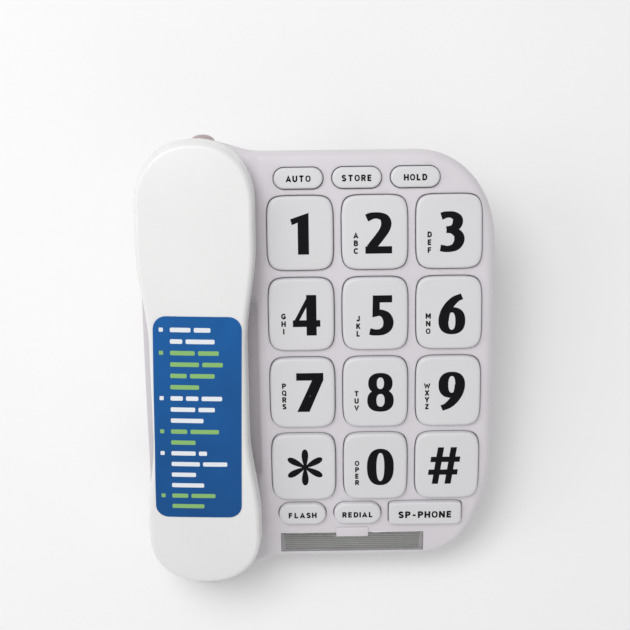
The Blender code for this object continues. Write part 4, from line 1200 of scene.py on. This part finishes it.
def on_underside(s, x=0.0, lift=0.0):
    level = under_level(s) + dish(x, s)
    turn = Matrix.Rotation(-s / DECK_RADIUS, 4, "X")
    return Matrix.Translation((x, s, level)) @ turn @ Matrix.Translation((0, 0, lift))


def make_handset_front():
    outline = handset_outline()
    turn_in, bend, draw = 0.82, 0.0026, 0.0032

    def side_ring(t, inset):
        return raised(shrunk(outline, inset),
                      lambda p: mix(top_level(p.y) - PARTING_DROP - GAP, under_level(p.y), t))

    rings = [side_ring(0.0, HANDSET_WALL), side_ring(0.0, 0.0003), side_ring(0.02, 0.0)]
    for t in (0.12, 0.25, 0.38, 0.50, 0.62, 0.73, turn_in):
        rings.append(side_ring(t, draw * math.sin(t / turn_in * math.pi / 2)))
    for a in map(math.radians, range(15, 91, 15)):
        rings.append(side_ring(mix(turn_in, 1.0, math.sin(a)), draw + bend * (1 - math.cos(a))))
    shares = (0.95, 0.9, 0.84, 0.78, 0.7, 0.62, 0.54, 0.46, 0.38, 0.3, 0.2, 0.1, 0.0)
    rings += closing_rings(shrunk(outline, 0.0058), shares, lambda p, t: under_level(p.y) + dish(p.x, p.y))
    outer = loft("handset_front", rings[1:], closed=False)
    fill_rim(outer)
    rings = [raised(rings[0], 0.03), rings[0], side_ring(0.40, HANDSET_WALL + 0.0030)]
    rings += closing_rings(shrunk(outline, HANDSET_WALL + 0.0050), (1.0, 0.7, 0.35, 0.0),
                           lambda p, t: under_level(p.y) + HANDSET_WALL + 0.0010)
    hollow = loft("hollow", rings, closed=False)
    fill_rim(hollow)
    cut(outer, hollow)
    holes = [jack_slot(), block("hole", (-0.0022, VOLUME_SWITCH_S - 0.0052, -0.010),
                                (0.0022, VOLUME_SWITCH_S + 0.0052, 0.0045), 0.0003)]
    for radius, count in ((0.0, 1), (0.0045, 6), (0.0090, 12)):
        for i in range(count):
            a = 2 * math.pi * i / count
            along = Matrix.Translation((0, radius * math.sin(a), 0))
            holes.append(moved(turned("hole", [(0.0008, -0.03), (0.0008, 0.006)], 16),
                               on_underside(EAR_S, radius * math.cos(a)) @ along))
    for x in (-0.004, 0.0, 0.004):
        holes.append(moved(turned("hole", [(0.0009, -0.03), (0.0009, 0.006)], 16), on_underside(MOUTH_S, x)))
    for s in HANDSET_SCREWS:
        pocket = turned("hole", [(0.0034, -0.004), (0.0034, 0.0010), (0.0017, 0.0010), (0.0017, 0.0045)], 32)
        holes.append(moved(pocket, on_underside(s)))
    finished(moved(drilled(outer, holes), HANDSET_FRAME), "handset", "handset_plastic", HANDSET_WHITE,
             "handset_front_shell")


def label_ring(width, height, radius, level, steps=8):
    """A rectangle with round corners and a point every few millimetres along its sides."""
    ring = []
    corners = ((1, -1, -90, (0, 1), 20), (1, 1, 0, (-1, 0), 6),
               (-1, 1, 90, (0, -1), 20), (-1, -1, 180, (1, 0), 6))
    for right, up, start, along, count in corners:
        centre = Vector((right * (width / 2 - radius), up * (height / 2 - radius), 0))
        for k in range(steps + 1):
            a = math.radians(start + 90 * k / steps)
            ring.append(centre + Vector((radius * math.cos(a), radius * math.sin(a), 0)))
        length = (height if along[1] else width) - 2 * radius
        last = ring[-1].copy()
        ring += [last + Vector((*along, 0)) * (length * k / count) for k in range(1, count)]
    return raised(ring, level)


def laid_on_handset(piece, lift):
    """Bends a flat piece, drawn in the label's own plane, onto the handset's top."""
    middle = Vector((LABEL_X, (LABEL_LOW + LABEL_HIGH) / 2, 0))
    askew = Matrix.Translation(middle) @ Matrix.Rotation(LABEL_TURN, 4, "Z")
    for vert in piece.data.vertices:
        place = askew @ vert.co
        vert.co = (place.x, place.y, handset_top(place.x, place.y) + lift + place.z)
    return moved(piece, HANDSET_FRAME)


def make_label():
    """The sticker, and its print as plain bars and bullets in place of words."""
    length = LABEL_HIGH - LABEL_LOW
    edge = label_ring(LABEL_WIDTH, length, LABEL_CORNER, 0.0)

    def drawn_in(share, level):
        ring = []
        for p in edge:
            spine = Vector((0, min(length / 2 - 0.012, max(-length / 2 + 0.012, p.y)), 0))
            q = spine + (Vector((p.x, p.y, 0)) - spine) * share
            ring.append(Vector((q.x, q.y, level)))
        return ring

    shares = (0.0, 0.33, 0.6, 0.78, 0.88, 0.94, 1.0)
    rings = [drawn_in(t, -LABEL_FILM) for t in shares] + [drawn_in(t, LABEL_FILM) for t in reversed(shares)]
    sticker = loft("label", rings, closed=False)
    sticker.data.materials.append(FILM)
    left, top = -LABEL_WIDTH / 2, length / 2 - 0.0062
    for i, (bullet, green, bars) in enumerate(LABEL_ROWS):
        marks = [(left + 0.0037, BULLET_SIZE, BULLET_SIZE, 0.0003)] if bullet else []
        x = left + 0.0078
        for signs in bars:
            width = signs * BAR_SIGN * 0.94
            marks.append((x + width / 2, width, BAR_HEIGHT, 0.00055))
            x += width + BAR_SIGN * 0.75
        for middle, width, height, radius in marks:
            rings = [label_ring(width, height, radius, z, 3) for z in (LABEL_FILM * 0.5, LABEL_FILM * 1.5)]
            mark = moved(loft("mark", rings), Matrix.Translation((middle, top - ROW_PITCH * i, 0)))
            mark.data.materials.append(FILM_GREEN if green else FILM_WHITE)
            sticker = joined("label", [sticker, mark])
    sticker.name = sticker.data.name = "label_with_bars"
    finished(laid_on_handset(sticker, LABEL_FILM), "handset", "label_film", None, "handset_label")


# ---------------------------------------------------------------- small fittings

def make_index_window():
    place = on_deck(WINDOW_ALONG, WINDOW_ACROSS)
    half = Vector((CARD_SIZE[0] / 2, CARD_SIZE[1] / 2, 0.00012))
    card = block("ruled_card", Vector((0, 0, -0.0012)) - half, Vector((0, 0, -0.0012)) + half, 0.0001, 1)
    finished(moved(card, place), "base", "card", CARD, "index_card")
    half = Vector((WINDOW_SIZE[0] / 2, WINDOW_SIZE[1] / 2, 0))
    pane = block("window_pane", -half - Vector((0, 0, 0.0007)), half + Vector((0, 0, 0.0002)), 0.0002, 2)
    finished(moved(pane, place), "base", "clear_window", WINDOW_CLEAR, "index_window")
    rings = [label_ring(0.0157, 0.0050, 0.0006, z, 3) for z in (0.00025, 0.0005)]
    rings.append(label_ring(0.0153, 0.0046, 0.0005, 0.0006, 3))
    above = Matrix.Translation((0, WINDOW_SIZE[1] / 2 + 0.0008, 0))
    finished(moved(loft("window_catch", rings), place @ above), "base", "base_plastic", SHELL_GREY)


def make_lens():
    profile = [(LENS_RADIUS, -0.0032), (LENS_RADIUS, 0.0003)]
    for k in range(1, 9):
        a = math.radians(90 * k / 9)
        profile.append((LENS_RADIUS * math.cos(a), 0.0003 + 0.0032 * math.sin(a)))
    lens = moved(turned("ring_lens", profile, 48), LENS_PLACE)
    finished(lens, "base", "lens", LENS_PINK, "ring_indicator_lens")


def make_socket(name, node, mouth, outward, width, wires, body, material, slot, sizes, place=Matrix()):
    """A modular cord socket: block, square hole with a key slot below it, and a row of gilt wires."""
    side = Vector((abs(outward.y), abs(outward.x), 0))
    half_side, half, hole, proud, length, deep = sizes

    def span(front, back, across, up, down):
        return (mouth + outward * front + side * across + Vector((0, 0, up)),
                mouth + outward * back - side * across + Vector((0, 0, down)))

    jack = block(name, *span(proud, -length, half_side, half, -half), 0.0004)
    cut(jack, block("hole", *span(0.004, -deep + 0.001, width / 2, hole, -hole), 0.0002, 1))
    cut(jack, block("key", *span(0.004, -deep + 0.004, 0.0015, -hole + 0.0005, -hole - 0.0010), 0.0001, 1))
    jack.data.materials.append(material)
    parts = [jack]
    for i in range(wires):
        middle = mouth + side * ((i - (wires - 1) / 2) * 0.00102)
        low = middle - outward * (deep - 0.0012) + Vector((0, 0, hole - 0.0022))
        high = middle - outward * 0.0012 + Vector((0, 0, hole - 0.0004))
        wire = turned("wire", [(0.00016, 0.0), (0.00020, 0.0002), (0.00020, (high - low).length)], 8)
        turn = Vector((0, 0, 1)).rotation_difference((high - low).normalized()).to_matrix().to_4x4()
        moved(wire, Matrix.Translation(low) @ turn)
        wire.data.materials.append(GOLD)
        parts.append(wire)
    finished(moved(joined(name, parts), place), body, slot, None, node)


def make_slider(node, place, outward, proud):
    """A switch knob: a plate behind the wall, and a nub with finger ribs through the slot."""
    side = Vector((abs(outward.y), abs(outward.x), 0))

    def span(outer, inner, along, up, shift=0.0):
        return (place + outward * outer + side * (along + shift) + Vector((0, 0, up)),
                place + outward * inner - side * (along - shift) - Vector((0, 0, up)))

    back = -WALL - 0.0020
    nub = block(node + "_nub", *span(proud - 0.0005, back, KNOB_LENGTH / 2, 0.0014), 0.0002)
    cut(nub, block("plate", *span(-WALL - 0.0008, back, KNOB_LENGTH / 2 + 0.0012, 0.0030), 0.0002), "UNION")
    for i in range(4):
        shift = (i - 1.5) * KNOB_LENGTH / 4
        cut(nub, block("rib", *span(proud, proud - 0.0008, 0.00032, 0.0013, shift), 0.00012, 2), "UNION")
    finished(nub, node, "switch_plastic", SWITCH_GREY, node)


def make_plunger():
    soft = 0.0010
    profile = [(0.0030, -0.0260), (0.0030, -0.0170), (PLUNGER_RADIUS, -0.0170), (PLUNGER_RADIUS, -soft)]
    profile += [(PLUNGER_RADIUS - soft * (1 - math.cos(a)), -soft + soft * math.sin(a))
                for a in map(math.radians, (30, 60, 90))]
    profile += [(0.0020, 0.0), (0.0008, 0.0)]
    top = deck_level(PLUNGER_S) + CRADLE_LEVEL - 0.0003
    plunger = moved(turned("plunger", profile, 40), HANDSET_FRAME @ Matrix.Translation((0, PLUNGER_S, top)))
    finished(plunger, "hook_plunger", "key_plastic", KEY_GREY, "hook_plunger")


def make_grip_switch():
    s = VOLUME_SWITCH_S
    nub = block("grip_switch", (-0.0018, s - 0.0030, 0.0010), (0.0018, s + 0.0010, 0.0062), 0.0002)
    for i in range(3):
        middle = s - 0.0010 + 0.0012 * (i - 1)
        rib = block("rib", (-0.0016, middle - 0.0003, 0.0008), (0.0016, middle + 0.0003, 0.0014), 0.0001, 2)
        cut(nub, rib, "UNION")
    finished(moved(nub, HANDSET_FRAME), "handset_volume_switch", "switch_plastic", SWITCH_DARK,
             "handset_volume_switch")


def cross_screw(shank):
    """A pan-head screw seen from its head, which points down, with a cross recess."""
    profile = [(0.0012, 0.0), (0.0020, 0.0001), (0.0026, 0.00025), (0.0030, 0.0005), (0.0030, 0.0007),
               (0.0013, 0.0007), (0.0013, shank - 0.0006), (0.0008, shank)]
    screw = turned("screw", profile, 32)
    for turn in (45, 135):
        bar = block("cross", (-0.0017, -0.00035, -0.001), (0.0017, 0.00035, 0.00042))
        cut(screw, moved(bar, Matrix.Rotation(math.radians(turn), 4, "Z")))
    return screw


def make_screws():
    spread(cross_screw(0.0018), "base_screw_", "_cross",
           [Matrix.Translation((x, y, FOOT_HEIGHT + 0.0001)) for x, y in BOSS_PLACES],
           "base", "screw_steel", STEEL)
    spread(cross_screw(0.006), "handset_screw_", "_cross",
           [HANDSET_FRAME @ on_underside(s, lift=0.0001) for s in HANDSET_SCREWS],
           "handset", "screw_steel", STEEL)


def make_feet():
    top = FOOT_HEIGHT - GAP
    profile = [(0.0040, 0.0004), (0.0045, 0.0), (0.0056, 0.0), (0.0061, 0.0003), (0.0064, 0.0008),
               (0.0064, top)]
    spread(turned("foot", profile, 48), "foot_", "_pad",
           [Matrix.Translation((x, y, 0)) for x, y in FOOT_PLACES], "base", "foot_rubber", RUBBER)


def dress_hidden_parts():
    """Finishes for the CAD pieces that stay: those inside the base and the handset."""
    finishes = {"keypad_mat": SILICONE, "main_circuit_board": BOARD, "handset_board": BOARD,
                "base_speaker": SPEAKER_BLACK, "ringer_sounder": SPEAKER_BLACK,
                "earpiece_capsule": SPEAKER_BLACK, "hook_switch": SOCKET_BLACK, "ring_indicator_led": LAMP_RED,
                "handset_microphone": BARE_METAL,
                "speakerphone_microphone": BARE_METAL, "handset_weight": STEEL}
    for node, material in finishes.items():
        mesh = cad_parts[node].data
        mesh.materials.clear()
        mesh.materials.append(material)


# ---------------------------------------------------------------- room

def make_room():
    deselect()
    bpy.ops.mesh.primitive_plane_add(size=3.0, location=(0, 0, 0))
    floor = named("floor")
    floor.data.materials.append(moulded("pale_floor", (0.97, 0.97, 0.97), 0.8, tone=0.002, strength=0.05))

    world = bpy.data.worlds.new("soft_white")
    bpy.context.scene.world = world
    world.use_nodes = True
    world.node_tree.nodes["Background"].inputs["Color"].default_value = (1.0, 1.0, 1.0, 1)
    world.node_tree.nodes["Background"].inputs["Strength"].default_value = 0.52

    for name, place, size, power in (("overhead_light", (-0.35, 0.45, 1.15), 0.6, 5.8),
                                     ("left_light", (-1.0, 0.10, 0.85), 0.7, 2.3),
                                     ("front_light", (0.35, -0.85, 0.80), 0.8, 0.8)):
        bpy.ops.object.light_add(type="AREA", location=place)
        light = bpy.context.object
        light.name = name
        light.data.size = size
        light.data.energy = power
        light.rotation_euler = (Vector(place) - Vector((0, 0, 0.04))).to_track_quat("Z", "Y").to_euler()

    camera_data = bpy.data.cameras.new("camera")
    camera_data.lens = 72.97
    camera_data.sensor_width = 36.0
    camera = bpy.data.objects.new("camera", camera_data)
    camera.location = (-0.00125, 0.02425, 0.657)
    camera.rotation_euler = (0, 0, math.radians(-0.79))
    bpy.context.scene.collection.objects.link(camera)
    bpy.context.scene.camera = camera
    bpy.context.scene.view_settings.view_transform = "Standard"


make_room()
make_base_top()
make_base_bottom()
for key in key_places():
    make_key(*key)
make_handset_back()
make_handset_front()
make_label()
make_index_window()
make_lens()
make_socket("line_socket", "line_jack", LINE_JACK, Vector((0, 1, 0)), 0.0097, 6, "base", SOCKET_BLACK,
            "socket_black", BASE_SOCKET)
make_socket("side_socket", "base_handset_jack", SIDE_JACK, Vector((-1, 0, 0)), 0.0078, 4, "base",
            SOCKET_BLACK, "socket_black", BASE_SOCKET)
make_socket("handset_socket", "handset_jack", Vector((0, -0.1050, 0)), Vector((0, -1, 0)), 0.0078, 4,
            "handset", SOCKET_PALE, "socket_clear", HANDSET_SOCKET, HANDSET_FRAME)
make_slider("volume_slider", VOLUME_SLIDE - Vector((0, 0.0045, 0)), Vector((1, 0, 0)), -0.0002)
for switch, x in BACK_SWITCHES:
    make_slider(switch, Vector((x - 0.0020, BASE_BACK, BACK_SWITCH_Z)), Vector((0, 1, 0)), 0.0012)
make_plunger()
make_grip_switch()
make_screws()
make_feet()
dress_hidden_parts()
